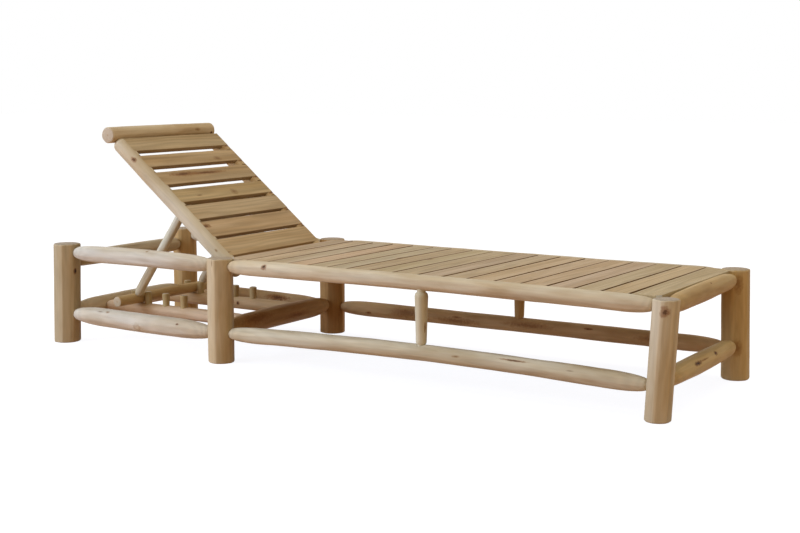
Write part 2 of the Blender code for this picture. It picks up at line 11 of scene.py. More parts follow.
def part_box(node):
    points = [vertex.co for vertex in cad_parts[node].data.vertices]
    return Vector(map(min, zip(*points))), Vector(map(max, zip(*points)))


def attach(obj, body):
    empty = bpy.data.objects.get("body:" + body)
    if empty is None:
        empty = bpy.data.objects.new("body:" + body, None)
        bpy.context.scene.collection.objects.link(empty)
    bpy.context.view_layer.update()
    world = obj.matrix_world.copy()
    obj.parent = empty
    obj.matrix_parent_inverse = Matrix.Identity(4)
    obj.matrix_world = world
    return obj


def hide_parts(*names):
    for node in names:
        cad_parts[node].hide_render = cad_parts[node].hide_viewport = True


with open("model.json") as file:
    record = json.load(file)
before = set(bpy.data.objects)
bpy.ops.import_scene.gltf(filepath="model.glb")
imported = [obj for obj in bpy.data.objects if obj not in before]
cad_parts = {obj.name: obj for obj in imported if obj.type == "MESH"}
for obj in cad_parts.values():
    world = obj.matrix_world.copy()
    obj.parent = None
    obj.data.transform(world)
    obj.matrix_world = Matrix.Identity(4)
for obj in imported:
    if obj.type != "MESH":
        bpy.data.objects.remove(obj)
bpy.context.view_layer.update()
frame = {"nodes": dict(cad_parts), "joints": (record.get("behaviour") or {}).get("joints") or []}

print("frame loaded:", len(frame["nodes"]), "nodes")


# A flow is a socket to reckon with, in shaders and geometry alike: each operator adds a node to its tree.
class Flow:
    def __init__(self, tree, socket):
        self.tree = tree
        self.socket = socket

    def also(self, output):
        return Flow(self.tree, self.socket.node.outputs[output])

    def parts(self):
        first = addNode(self.tree, "ShaderNodeSeparateXYZ", {"Vector": self})
        return first, first.also("Y"), first.also("Z")

    def __add__(self, other):
        return reckon("ADD", self, other)

    def __sub__(self, other):
        return reckon("SUBTRACT", self, other)

    def __rsub__(self, other):
        return reckon("SUBTRACT", other, self)

    def __mul__(self, other):
        return reckon("MULTIPLY", self, other)

    def __truediv__(self, other):
        return reckon("DIVIDE", self, other)

    def __rtruediv__(self, other):
        return reckon("DIVIDE", other, self)


def feed(value, socket):
    if isinstance(value, Flow):
        value.tree.links.new(value.socket, socket)
    elif socket.type == "RGBA":
        socket.default_value = (*value, 1)
    elif socket.type == "VECTOR" and isinstance(value, float):
        socket.default_value = (value, value, value)
    else:
        socket.default_value = value


def addNode(tree, kind, values=None, output=0, **settings):
    node = tree.nodes.new(kind)
    for key, value in settings.items():
        setattr(node, key, value)
    for key, value in (values or {}).items():
        feed(value, node.inputs[key])
    return Flow(tree, node.outputs[output]) if node.outputs else None


def reckon(operation, *values):
    # A math node, for vectors where one of the values is a vector or a colour
    flows = [value for value in values if isinstance(value, Flow)]
    isVector = any(flow.socket.type in ("VECTOR", "RGBA") for flow in flows)
    node = flows[0].tree.nodes.new("ShaderNodeVectorMath" if isVector else "ShaderNodeMath")
    node.operation = operation
    for socket, value in zip(node.inputs, values):
        feed(value, socket)
    output = "Vector" if isVector and operation != "LENGTH" else "Value"
    return Flow(flows[0].tree, node.outputs[output])


def combined(x, y, z):
    tree = next(value.tree for value in (x, y, z) if isinstance(value, Flow))
    return addNode(tree, "ShaderNodeCombineXYZ", {"X": x, "Y": y, "Z": z})


def swing(value, reach, base):
    # Adds a value that runs from 0 to 1 as a swing to both sides of a base.
    return (value - 0.5) * (2 * reach) + base


def noise(vector, detail=2.0, roughness=0.5, distortion=0.0, output="Fac"):
    values = {"Vector": vector, "Scale": 1.0, "Detail": detail, "Roughness": roughness}
    values["Distortion"] = distortion
    return addNode(vector.tree, "ShaderNodeTexNoise", values, output)


def ramp(value, low, high, toLow=0.0, toHigh=1.0):
    values = {"Value": value, "From Min": low, "From Max": high, "To Min": toLow, "To Max": toHigh}
    return addNode(value.tree, "ShaderNodeMapRange", values, interpolation_type="SMOOTHSTEP")


def blend(factor, first, second):
    return addNode(factor.tree, "ShaderNodeMix", {0: factor, 6: first, 7: second}, 2, data_type="RGBA")


def addObject(name, data):
    made = bpy.data.objects.new(name, data)
    bpy.context.scene.collection.objects.link(made)
    return made


# Camera, as the photograph was taken
cameraView = {
    "place": (2.2254, -3.4608, 0.8372),
    "headingDegrees": 121.925,
    "downDegrees": 7.786,
    "lensMm": 63.65,
    "sensorMm": 36,
}

# Studio: a broad cool window from the near left, a soft top, and a warm room and floor that fill the shade
studio = {
    "window": {
        "place": (-3.3, -3.6, 1.7), "aim": (0.0, -0.1, 0.25), "size": (3.4, 2.6),
        "watts": 150, "colour": (0.84, 1.0, 1.28),
    },
    "top": {
        "place": (0.2, -0.2, 3.6), "aim": (0.0, 0.0, 0.2), "size": (4.0, 3.0),
        "watts": 43, "colour": (1.0, 0.94, 0.90),
    },
    "roomColour": (1.0, 0.86, 0.62),
    "roomStrength": 0.45,
    "white": (1.0, 1.0, 1.0),
    "floorBounce": (0.56, 0.28, 0.10),
    "floorPaper": (0.32, 0.32, 0.32),
    "floorGlow": (0.88, 0.895, 0.93),
    "floorSize": 40.0,
    "floorDrop": 0.0004,
}


def makeCamera():
    data = bpy.data.cameras.new("photoCamera")
    data.lens = cameraView["lensMm"]
    data.sensor_width = cameraView["sensorMm"]
    camera = addObject("photoCamera", data)
    camera.location = cameraView["place"]
    tilt = math.radians(90 - cameraView["downDegrees"])
    camera.rotation_euler = (tilt, 0, math.radians(cameraView["headingDegrees"] - 90))
    bpy.context.scene.camera = camera


def makeLamps():
    for name in ("window", "top"):
        setting = studio[name]
        data = bpy.data.lights.new(name + "Light", "AREA")
        data.shape = "RECTANGLE"
        data.size, data.size_y = setting["size"]
        data.energy = setting["watts"]
        data.color = setting["colour"]
        light = addObject(name + "Light", data)
        light.location = setting["place"]
        light.rotation_mode = "QUATERNION"
        direction = Vector(setting["aim"]) - light.location
        light.rotation_quaternion = direction.to_track_quat("-Z", "Y")


def emptyTree(owner):
    owner.use_nodes = True
    owner.node_tree.nodes.clear()
    return owner.node_tree


def eitherWay(lighting, seen):
    # One shader where the background lights the object, another where it is looked at
    path = addNode(seen.tree, "ShaderNodeLightPath", output="Is Camera Ray")
    looked = reckon("MAXIMUM", path, path.also("Is Glossy Ray"))
    looked = reckon("MAXIMUM", looked, path.also("Is Transmission Ray"))
    return addNode(seen.tree, "ShaderNodeMixShader", {0: looked, 1: lighting, 2: seen})


def makeRoom():
    world = bpy.data.worlds.new("paleRoom")
    tree = emptyTree(world)
    values = {"Color": studio["roomColour"], "Strength": studio["roomStrength"]}
    room = addNode(tree, "ShaderNodeBackground", values)
    white = addNode(tree, "ShaderNodeBackground", {"Color": studio["white"], "Strength": 1.0})
    addNode(tree, "ShaderNodeOutputWorld", {"Surface": eitherWay(room, white)})
    bpy.context.scene.world = world


def makeFloor():
    bm = bmesh.new()
    bmesh.ops.create_grid(bm, x_segments=1, y_segments=1, size=studio["floorSize"] / 2)
    mesh = bpy.data.meshes.new("paleFloor")
    bm.to_mesh(mesh)
    bm.free()
    floor = addObject("paleFloor", mesh)
    floor.location.z = -studio["floorDrop"]
    material = bpy.data.materials.new("paleFloor")
    tree = emptyTree(material)
    bounce = addNode(tree, "ShaderNodeBsdfDiffuse", {"Color": studio["floorBounce"]})
    paper = addNode(tree, "ShaderNodeBsdfDiffuse", {"Color": studio["floorPaper"]})
    glow = addNode(tree, "ShaderNodeEmission", {"Color": studio["floorGlow"], "Strength": 1.0})
    seen = addNode(tree, "ShaderNodeAddShader", {0: glow, 1: paper})
    addNode(tree, "ShaderNodeOutputMaterial", {"Surface": eitherWay(bounce, seen)})
    mesh.materials.append(material)


makeCamera()
makeLamps()
makeRoom()
makeFloor()
bpy.context.scene.view_settings.view_transform = "Standard"
print("camera and studio ready")

# Wood finishes. Colours are linear. Scales are per metre, along and across the grain.
peeledLook = {
    "pale": (0.615, 0.545, 0.415), "middle": (0.520, 0.420, 0.275), "stain": (0.370, 0.235, 0.115),
    # gap is painted shade for the slat sides in the gaps between boards
    "speck": (0.170, 0.085, 0.038), "gap": (0.128, 0.056, 0.015),
    "endPale": (0.560, 0.485, 0.385), "endDark": (0.380, 0.280, 0.180),
    "toneScale": (4.0, 16.0), "toneSpan": (0.34, 0.66),
    "streakScale": (2.0, 70.0), "streakDepth": 0.13,
    "fibreScale": (14.0, 480.0), "fibreDepth": 0.10, "fibreRough": 0.15,
    "patchScale": (5.0, 26.0), "patchAbove": 0.52, "patchFull": 0.80, "patchShare": 0.45,
    "strokeRun": 2.4, "strokeDepth": 0.05,
    "ringWidth": 0.0034, "ringDepth": 0.04, "ringOffset": 0.0, "ringDrop": 0.35,
    "swayScale": (2.6, 9.0), "swayDepth": 0.022,
    "pinScale": (9.0, 42.0), "pinAbove": 0.93, "pinSpan": (0.16, 0.06), "pinShare": 0.7, "pinRelief": -0.5,
    "wearScale": (40.0, 120.0), "wearSpan": (0.35, 0.60), "wearShare": 0.40, "wearRough": -0.10,
    "pieceStep": 3.7, "luckDepth": 0.07, "specular": 0.12, "roughness": 0.58, "bump": 0.00040,
}
legLook = dict(
    peeledLook, pale=(0.590, 0.492, 0.334), middle=(0.495, 0.379, 0.218),
    endPale=(0.370, 0.305, 0.240), endDark=(0.260, 0.185, 0.115),
    strokeRun=0.8, strokeDepth=0.07, streakDepth=0.16, fibreDepth=0.12,
)
sawnLook = dict(
    peeledLook, pale=(0.500, 0.386, 0.252), middle=(0.418, 0.303, 0.177), toneScale=(1.8, 22.0),
    streakScale=(1.2, 150.0), streakDepth=0.22, fibreScale=(10.0, 900.0), fibreDepth=0.14,
    patchScale=(3.0, 40.0), patchAbove=0.60, patchShare=0.30, strokeDepth=0.0,
    ringWidth=0.0052, ringDepth=0.11, ringOffset=0.06, luckDepth=0.11, roughness=0.62, bump=0.00028,
)
backLook = dict(
    sawnLook, pale=(0.535, 0.405, 0.242), middle=(0.430, 0.302, 0.158),
    streakDepth=0.34, ringWidth=0.0075, ringDepth=0.10,
)
dowelLook = dict(peeledLook, pale=(0.510, 0.405, 0.215), middle=(0.420, 0.300, 0.140), patchShare=0.25)

# The strokes of the peeling knife, which the log tree and the finish share
knife = {"cells": 1.7, "seedStep": 2.31, "hollow": 2.4, "level": 0.85}

# Marks in the wood: colour and strength of the rim, colour and strength of the core, and relief
markKinds = {
    "knot": ((0.260, 0.120, 0.055), 0.75, (0.035, 0.018, 0.010), 0.95, -0.6),
    "ringKnot": ((0.330, 0.185, 0.100), 0.85, (0.110, 0.055, 0.028), 0.85, 0.2),
    "softKnot": ((0.330, 0.215, 0.110), 0.70, (0.200, 0.110, 0.050), 0.60, 0.3),
    "bud": ((0.360, 0.230, 0.110), 0.55, (0.640, 0.520, 0.330), 0.80, 0.5),
    "split": ((0.300, 0.150, 0.065), 0.70, (0.070, 0.030, 0.015), 0.80, -1.0),
    "heart": ((0.290, 0.155, 0.060), 0.80, (0.130, 0.058, 0.022), 0.90, 0.0),
    "hole": ((0.200, 0.100, 0.042), 0.85, (0.040, 0.018, 0.008), 1.00, -1.6),
    "stain": ((0.320, 0.180, 0.075), 0.45, (0.240, 0.125, 0.050), 0.50, 0.0),
}
markShape = {"waverScale": 130.0, "waver": 0.9, "rim": (1.0, 0.55), "core": (0.55, 0.22)}


def addMarks(colour, height, coordinates, marks):
    # Each mark is a stretched spot with a wavering outline.
    waver = noise(coordinates * markShape["waverScale"], output="Color")
    waver = (waver - 0.5) * markShape["waver"]
    for kind, place, spread, *_ in marks:
        rimColour, rimShare, coreColour, coreShare, relief = markKinds[kind]
        reach = reckon("LENGTH", (coordinates - place) / spread + waver)
        rim = ramp(reach, *markShape["rim"])
        core = ramp(reach, *markShape["core"])
        colour = blend(rim * rimShare, colour, rimColour)
        colour = blend(core * coreShare, colour, coreColour)
        height = core * relief + height
    return colour, height


# Cut ends: rings, a dark heart, fine saw lines and drying splits that run outwards
endLook = {
    "wobbleScale": 60.0, "wobble": 0.006, "ringWidth": 0.0030, "ringShare": 0.20, "ringLevel": 0.28,
    "spokeScale": 5.0, "splitSpan": (0.66, 0.72), "splitFrom": (0.004, 0.012), "splitShare": 0.55,
    "sawScale": (1.0, 60.0, 1400.0), "sawDepth": 0.16, "heartSpan": (0.0042, 0.0015), "heartShare": 0.6,
    "tintShare": 0.4,
}


def endFinish(look, flat, luck):
    radius = reckon("LENGTH", flat)
    wobble = noise(flat * endLook["wobbleScale"]) * endLook["wobble"]
    ring = reckon("SINE", (wobble + radius) * (2 * math.pi / endLook["ringWidth"]))
    spokes = noise(reckon("NORMALIZE", flat) * endLook["spokeScale"] + luck, detail=3.0)
    splits = ramp(spokes, *endLook["splitSpan"]) * ramp(radius, *endLook["splitFrom"])
    saw = noise(flat * endLook["sawScale"], detail=1.0)
    ringed = ring * endLook["ringShare"] + endLook["ringLevel"]
    colour = blend(ringed, look["endPale"], look["endDark"]) * swing(saw, endLook["sawDepth"], 1.0)
    heart = ramp(radius, *endLook["heartSpan"], 0.0, endLook["heartShare"])
    colour = blend(heart, colour, look["stain"])
    return blend(splits * endLook["splitShare"], colour, look["speck"])


def woodFinish(name, look, marks=(), markSource="grain"):
    material = bpy.data.materials.new(name)
    material.use_nodes = True
    tree = material.node_tree
    shader = tree.nodes["Principled BSDF"]

    def painted(label, output="Fac"):
        return addNode(tree, "ShaderNodeAttribute", output=output, attribute_name=label)

    # Place in the log: X along the grain, Y and Z across it. Each piece has its own number.
    grain = painted("grain", "Vector")
    number, endCut, side = painted("pieceNumber"), painted("endCut"), painted("side")
    luck = addNode(tree, "ShaderNodeTexWhiteNoise", {"W": number}, "Color", noise_dimensions="1D")
    luckX, luckY, luckZ = luck.parts()
    shifted = grain + combined(number * look["pieceStep"], 0.0, 0.0)

    def stretched(field):
        return shifted * (look[field][0], look[field][1], look[field][1])

    tone = noise(stretched("toneScale"), detail=3.0, roughness=0.55)
    streak = noise(stretched("streakScale"), detail=4.0, roughness=0.62, distortion=0.3)
    fibre = noise(stretched("fibreScale"), detail=3.0, roughness=0.6)
    patch = noise(stretched("patchScale"), detail=4.0, roughness=0.55, distortion=0.5)

    # Growth rings round a heart that lies beside a sawn board and in the middle of a log
    along, across, depth = grain.parts()
    flat = combined(0.0, across, depth)
    aside, below = luckX - 0.5, luckY + look["ringDrop"]
    heart = combined(0.0, aside * look["ringOffset"], below * -look["ringOffset"])
    reach = noise(stretched("swayScale")) * look["swayDepth"] + reckon("LENGTH", flat - heart)
    ring = reckon("SINE", reach * (2 * math.pi / look["ringWidth"]))

    # Strokes of the peeling knife, the same cells as in the log tree
    run = number * knife["seedStep"] + along * look["strokeRun"]
    values = {"Vector": reckon("NORMALIZE", flat) + combined(run, 0.0, 0.0), "Scale": knife["cells"]}
    stroke = addNode(tree, "ShaderNodeTexVoronoi", values, "Color").parts()[0]

    colour = blend(ramp(tone, *look["toneSpan"]), look["middle"], look["pale"])
    patched = ramp(patch, look["patchAbove"], look["patchFull"], 0.0, look["patchShare"])
    colour = blend(patched, colour, look["stain"])
    light = swing(streak, look["streakDepth"], 1.0)
    light = swing(fibre, look["fibreDepth"], light)
    light = swing(stroke, look["strokeDepth"], light)
    light = swing(luckZ, look["luckDepth"], light)
    colour = colour * (ring * look["ringDepth"] + light)
    height = fibre * 0.5 + streak * 0.5

    # Sparse pin knots
    values = {"Vector": stretched("pinScale"), "Scale": 1.0}
    spots = addNode(tree, "ShaderNodeTexVoronoi", values, "Distance")
    chosen = reckon("GREATER_THAN", spots.also("Color").parts()[0], look["pinAbove"])
    pin = ramp(spots, *look["pinSpan"]) * chosen
    colour = blend(pin * look["pinShare"], colour, look["speck"])
    height = pin * look["pinRelief"] + height

    if marks:
        coordinates = grain
        if markSource == "object":
            coordinates = addNode(tree, "ShaderNodeTexCoord", output="Object")
        colour, height = addMarks(colour, height, coordinates, marks)
    colour = blend(endCut, colour, endFinish(look, flat, luck))
    # The tint: random tone on slats; on logs partly their own tone, partly painted shade and painted light.
    # End cuts take a share of it.
    tint = painted("tint", "Vector") * (endCut * (endLook["tintShare"] - 1.0) + 1.0)
    colour = colour * tint + colour
    # Painted shade on the slat sides in the gaps between boards
    colour = blend(side, colour, look["gap"])

    # Worn edges are paler and smoother
    worn = painted("wear") * ramp(noise(stretched("wearScale"), detail=3.0), *look["wearSpan"])
    colour = blend(worn * look["wearShare"], colour, look["pale"])
    rough = worn * look["wearRough"] + swing(fibre, look["fibreRough"], look["roughness"])
    bump = addNode(tree, "ShaderNodeBump", {"Height": height, "Strength": 1.0, "Distance": look["bump"]})
    # Where the gap shade is painted, the gloss goes too
    gloss = side * -look["specular"] + look["specular"]
    shown = {"Base Color": colour, "Roughness": rough, "Normal": bump, "Specular IOR Level": gloss}
    for label, flow in shown.items():
        feed(flow, shader.inputs[label])
    return material


# One tree turns every log: a line with packed ends, a swelling profile, knife strokes, lumps and a bow
logInputs = {
    "Length": 1.0, "Girth": 0.03, "Swell": 0.0, "Growth": 0.0, "Tip Start": 0.012, "Tip End": 0.012,
    "Taper Start": 0.03, "Taper End": 0.03, "Tenon Start": 0.0, "Tenon End": 0.0, "Facet": 0.001,
    "Stroke Run": 2.4, "Lump": 0.001, "Flats": 6.0, "Flat Turn": 0.0, "Flat Depth": 0.0,
    "Bow": (0.0, 0.0, 0.0), "Rings": 120, "Sides": 48, "Seed": 0.0, "Material": None,
}
lumps = {"seedStep": 5.17, "run": 7.0, "level": 0.52}
hewing = {"seedStep": 1.9, "uneven": 0.24, "edgeShare": 0.55}
socketKinds = {float: "Float", int: "Int", tuple: "Vector", type(None): "Material"}


def newTree(name, inputs):
    # The kind of an input follows from its first value.
    tree = bpy.data.node_groups.new(name, "GeometryNodeTree")
    tree.interface.new_socket("Geometry", in_out="INPUT", socket_type="NodeSocketGeometry")
    for label, value in inputs.items():
        kind = "NodeSocket" + socketKinds[type(value)]
        socket = tree.interface.new_socket(label, in_out="INPUT", socket_type=kind)
        if value is not None:
            socket.default_value = value
    tree.interface.new_socket("Geometry", in_out="OUTPUT", socket_type="NodeSocketGeometry")
    group = addNode(tree, "NodeGroupInput").socket.node
    return tree, {socket.name: Flow(tree, socket) for socket in group.outputs}


def packed(share, strength=0.9):
    # Even steps from 0 to 1, drawn together towards both ends
    return reckon("SINE", share * (2 * math.pi)) * (-strength / (2 * math.pi)) + share


def clamped(value):
    return addNode(value.tree, "ShaderNodeClamp", {"Value": value})


def moved(geometry, field, value):
    return addNode(geometry.tree, "GeometryNodeSetPosition", {"Geometry": geometry, field: value})


def finishTree(geometry, material):
    smooth = addNode(geometry.tree, "GeometryNodeSetShadeSmooth", {"Geometry": geometry})
    real = addNode(geometry.tree, "GeometryNodeRealizeInstances", {"Geometry": smooth})
    coated = addNode(geometry.tree, "GeometryNodeSetMaterial", {"Geometry": real, "Material": material})
    addNode(geometry.tree, "NodeGroupOutput", {"Geometry": coated})


def evenLine(tree, count, end):
    line = addNode(tree, "GeometryNodeCurvePrimitiveLine", {"End": end})
    return addNode(tree, "GeometryNodeResampleCurve", {"Curve": line, "Count": count})


def turnedLine(line, sides, girth):
    # Sweeps a circle along a laid out line.
    circle = addNode(line.tree, "GeometryNodeCurvePrimitiveCircle", {"Resolution": sides, "Radius": 1.0})
    values = {"Curve": line, "Profile Curve": circle, "Scale": girth, "Fill Caps": True}
    return addNode(line.tree, "GeometryNodeCurveToMesh", values)


def hewnFlats(given, across, depth):
    # Long flats of uneven width round the log. One edge lies at the given turn.
    turn = reckon("ARCTAN2", depth, across) - given["Flat Turn"]
    drift = given["Seed"] * hewing["seedStep"]
    turn = (reckon("SINE", turn + drift) - reckon("SINE", drift)) * hewing["uneven"] + turn
    width = 2 * math.pi / given["Flats"]
    inFlat = reckon("FRACT", turn / width) - 0.5
    edge = reckon("COSINE", width * 0.5)
    flat = edge / reckon("COSINE", inFlat * width)
    middle = edge * hewing["edgeShare"] + (1 - hewing["edgeShare"])
    return (flat - middle) * given["Girth"] * given["Flat Depth"]


def buildLogTree():
    tree, given = newTree("peeledLog", logInputs)
    share = packed(addNode(tree, "GeometryNodeSplineParameter", output="Factor"))
    whole = given["Length"] + given["Tenon Start"] + given["Tenon End"]
    place = share * whole - given["Tenon Start"]
    laid = moved(evenLine(tree, given["Rings"], (1.0, 0.0, 0.0)), "Position", combined(place, 0.0, 0.0))

    # Quarter ellipses swell from each tip to the full girth
    along, across, depth = addNode(tree, "GeometryNodeInputPosition").parts()

    def swelling(distance, taper):
        missing = clamped(1.0 - distance / taper)
        return reckon("SQRT", 1.0 - reckon("POWER", missing, 2.0))

    start = swelling(along, given["Taper Start"])
    end = swelling(given["Length"] - along, given["Taper End"])
    share = along / given["Length"]
    arch = reckon("SINE", clamped(share) * math.pi)
    neck = (share - 0.5) * given["Growth"] + ((arch - 1.0) * given["Swell"] + given["Girth"])
    girth = neck
    for tip, grown in ((given["Tip Start"], start), (given["Tip End"], end)):
        girth = girth - (neck - tip) * (1.0 - grown)
    body = turnedLine(laid, given["Sides"], girth)

    # Flat strokes of the peeling knife, deepest in the middle of each stroke, and soft lumps
    outward = reckon("NORMALIZE", combined(0.0, across, depth))

    def wandering(seedStep, run):
        return outward + combined(given["Seed"] * seedStep + along * run, 0.0, 0.0)

    values = {"Vector": wandering(knife["seedStep"], given["Stroke Run"]), "Scale": knife["cells"]}
    cells = addNode(tree, "ShaderNodeTexVoronoi", values, "Distance")
    stroke = reckon("MINIMUM", reckon("POWER", cells, 2.0) * knife["hollow"], 1.0) - knife["level"]
    lump = noise(wandering(lumps["seedStep"], lumps["run"])) - lumps["level"]
    relief = stroke * given["Facet"] + lump * (given["Lump"] * 2.0) + hewnFlats(given, across, depth)
    offset = outward * (relief * (start * end)) + given["Bow"] * arch
    finishTree(moved(body, "Offset", offset), given["Material"])
    return tree


def writeAttributes(mesh, domain, **attributes):
    # Values in rows become vectors.
    for name, values in attributes.items():
        values = np.asarray(values, np.float32)
        kind, field = ("FLOAT_VECTOR", "vector") if values.ndim == 2 else ("FLOAT", "value")
        attribute = mesh.attributes.get(name) or mesh.attributes.new(name, kind, domain)
        attribute.data.foreach_set(field, values.ravel())


def keepResult(obj):
    graph = bpy.context.evaluated_depsgraph_get()
    shown = obj.evaluated_get(graph)
    mesh = bpy.data.meshes.new_from_object(shown, preserve_all_data_layers=True, depsgraph=graph)
    mesh.name = obj.name
    obj.modifiers.clear()
    obj.data = mesh


def runTree(tree, name, setting, points=(), **attributes):
    # Evaluates a tree on a mesh of points, which may be empty, and keeps the result as a plain mesh.
    mesh = bpy.data.meshes.new(name)
    mesh.from_pydata([tuple(point) for point in points], [], [])
    writeAttributes(mesh, "POINT", **attributes)
    holder = addObject(name, mesh)
    modifier = holder.modifiers.new(tree.name, "NODES")
    modifier.node_group = tree
    for item in tree.interface.items_tree:
        if item.in_out == "INPUT" and item.name in setting:
            modifier[item.identifier] = setting[item.name]
    keepResult(holder)
    return holder


logTree = buildLogTree()
print("log tree built")


def vectors(items, field):
    values = np.empty(len(items) * 3, np.float32)
    items.foreach_get(field, values)
    return values.reshape(-1, 3).astype(float)


def localCoordinates(mesh, place):
    back = np.array(place.inverted())
    return vectors(mesh.vertices, "co") @ back[:3, :3].T + back[:3, 3]


# How close to a level or an end a node's points are counted in, and the least gap between pegs
reading = {"level": 0.0005, "tenon": 0.004, "middle": 0.003, "pegGap": 0.02}


def nodePoints(node, place=Matrix()):
    return localCoordinates(frame["nodes"][node].data, place)


def spanIn(node, place):
    # Lowest and highest corner of a frame node, measured along a piece's own axes
    local = nodePoints(node, place)
    return Vector(local.min(0)), Vector(local.max(0))


def centreOf(node):
    low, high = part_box(node)
    return (low + high) / 2


def jointPlace(name):
    return Vector(next(joint for joint in frame["joints"] if joint["name"] == name)["pos_m"])


def axesAt(origin, along, side):
    # Place of a piece: X along the grain, Y to its side, Z completing the right hand
    x = Vector(along).normalized()
    y = (Vector(side) - x * x.dot(Vector(side))).normalized()
    place = Matrix((x, y, x.cross(y))).transposed().to_4x4()
    place.translation = origin
    return place


# Blind holes: a little deeper than their tenons, and flared from the floor to the mouth
hole = {"outside": 0.006, "play": 0.001, "floorPlay": 0.0005, "mouthPlay": 0.0016, "segments": 40}
sharpDegrees = 38


def cutAway(obj, bm):
    # Cuts the shapes in bm out of a piece.
    mesh = bpy.data.meshes.new("cutter")
    bm.to_mesh(mesh)
    bm.free()
    cutter = addObject("cutter", mesh)
    modifier = obj.modifiers.new("cut", "BOOLEAN")
    modifier.operation = "DIFFERENCE"
    modifier.solver = "EXACT"
    modifier.object = cutter
    keepResult(obj)
    bpy.data.objects.remove(cutter)
    obj.data.set_sharp_from_angle(angle=math.radians(sharpDegrees))


def addMouth(bm, mouth, direction, tenon, radius):
    # A hole for a tenon. Its mouth is on the surface, and the direction points out of the wood.
    depth = tenon + hole["play"]
    middle = Vector(mouth) + Vector(direction) * (hole["outside"] - depth) / 2
    turn = Vector(direction).to_track_quat("Z", "Y").to_matrix().to_4x4()
    bmesh.ops.create_cone(
        bm, cap_ends=True, segments=hole["segments"], radius1=radius + hole["floorPlay"],
        radius2=radius + hole["mouthPlay"], depth=depth + hole["outside"],
        matrix=Matrix.Translation(middle) @ turn,
    )


def addBlock(bm, low, high, place=Matrix()):
    made = bmesh.ops.create_cube(bm, size=1)["verts"]
    for vert in made:
        corner = [high[axis] if vert.co[axis] > 0 else low[axis] for axis in range(3)]
        vert.co = place @ Vector(corner)


# Knots, splits and stains that the photograph shows: kind, metres along the log, degrees round it,
# length, width and, for some, how far it stands out
logMarks = {
    "rail_near_upper_seat": [("knot", 0.135, 155, 0.025, 0.021, 0.0006)],
    "rail_near_lower_seat": [("split", 0.928, 138, 0.105, 0.0075), ("softKnot", 0.760, 165, 0.030, 0.008)],
    "rail_near_upper_head": [("softKnot", 0.305, 118, 0.016, 0.010), ("knot", 0.540, 195, 0.009, 0.008)],
    "rail_near_lower_head": [
        ("bud", 0.279, 200, 0.040, 0.030, 0.0042),
        ("knot", 0.431, 146, 0.014, 0.011, 0.0012),
        ("softKnot", 0.150, 128, 0.020, 0.012, 0.0012),
    ],
    "rail_far_lower_seat": [
        ("heart", 0.114, 198, 0.030, 0.012),
        ("softKnot", 0.436, 162, 0.045, 0.009),
        ("heart", 0.875, 146, 0.040, 0.009),
        ("stain", 0.255, 172, 0.150, 0.040),
        ("stain", 0.440, 192, 0.190, 0.026),
        ("stain", 0.680, 168, 0.210, 0.024),
        ("stain", 1.080, 176, 0.140, 0.030),
    ],
    "rail_far_lower_head": [("heart", 0.378, 148, 0.125, 0.026)],
    "cross_mid_lower": [("stain", 0.100, 150, 0.190, 0.050), ("stain", 0.300, 185, 0.160, 0.026)],
    "cross_foot_lower": [
        ("hole", 0.172, 149, 0.066, 0.016),
        ("split", 0.225, 147, 0.070, 0.007),
        ("hole", 0.309, 143, 0.028, 0.016),
    ],
    "cross_foot_upper": [("knot", 0.273, 125, 0.012, 0.008)],
    "leg_near_foot": [("ringKnot", 0.275, 17, 0.034, 0.032, 0.0012)],
    "leg_far_foot": [("stain", 0.268, 30, 0.070, 0.034), ("stain", 0.092, 26, 0.060, 0.036)],
    "leg_near_head": [("knot", 0.2255, 84, 0.025, 0.020)],
    "back_rail_near": [("ringKnot", 0.501, 31, 0.030, 0.018, 0.0008), ("softKnot", 0.095, 25, 0.018, 0.008)],
    "peg_rail_far": [("knot", 0.342, 174, 0.018, 0.015, 0.0008)],
    "spindle_near": [("heart", 0.048, 70, 0.036, 0.007)],
    "headrest_log": [("softKnot", 0.397, 168, 0.034, 0.013), ("hole", 0.466, 196, 0.016, 0.012)],
}

# Tints of single logs: partly their own tone, partly painted shade (browner, on logs that stand in shade) and
# painted light (paler, on logs the light falls on)
logShadeAndLightTints = {
    "leg_far_mid": (0.83, 0.61, 0.38),
    "leg_far_head": (0.89, 0.74, 0.51),
    "leg_far_foot": (1.05, 0.95, 0.72),
    "leg_near_foot": (1.14, 1.22, 1.36),
    "leg_near_head": (0.80, 0.79, 0.75),
    "cross_head_lower": (1.08, 1.07, 1.05),
    "cross_mid_lower": (0.87, 0.62, 0.37),
    "cross_foot_upper": (1.0, 0.84, 0.57),
    "cross_foot_lower": (1.1, 0.96, 0.66),
    "prop_bar": (0.98, 0.82, 0.55),
    "rail_far_lower_seat": (0.96, 0.78, 0.56),
    "rail_far_lower_head": (0.84, 0.67, 0.47),
    "rail_near_upper_head": (1.04, 1.12, 1.30),
    "rail_near_lower_head": (1.04, 1.12, 1.30),
    "rail_near_lower_seat": (1.04, 1.08, 1.10),
    "spindle_near": (1.10, 1.18, 1.20),
    "spindle_far": (0.96, 0.78, 0.50),
    "peg_rail_near": (1.13, 0.97, 0.88),
    "peg_rail_far": (1.03, 0.90, 0.74),
    "prop_strut_near": (1.16, 1.28, 1.40),
    "headrest_log": (0.96, 0.88, 0.76),
    "back_rail_far": (0.86, 0.72, 0.53),
}
plainTint = (1.0, 1.0, 1.0)

looks = {"peeled_log": peeledLook, "leg_log": legLook, "dowel": dowelLook}
plainFinish = {slot: woodFinish(slot + "Wood", look) for slot, look in looks.items()}
pieceCount = 0


def nextNumber():
    global pieceCount
    pieceCount += 1
    return pieceCount


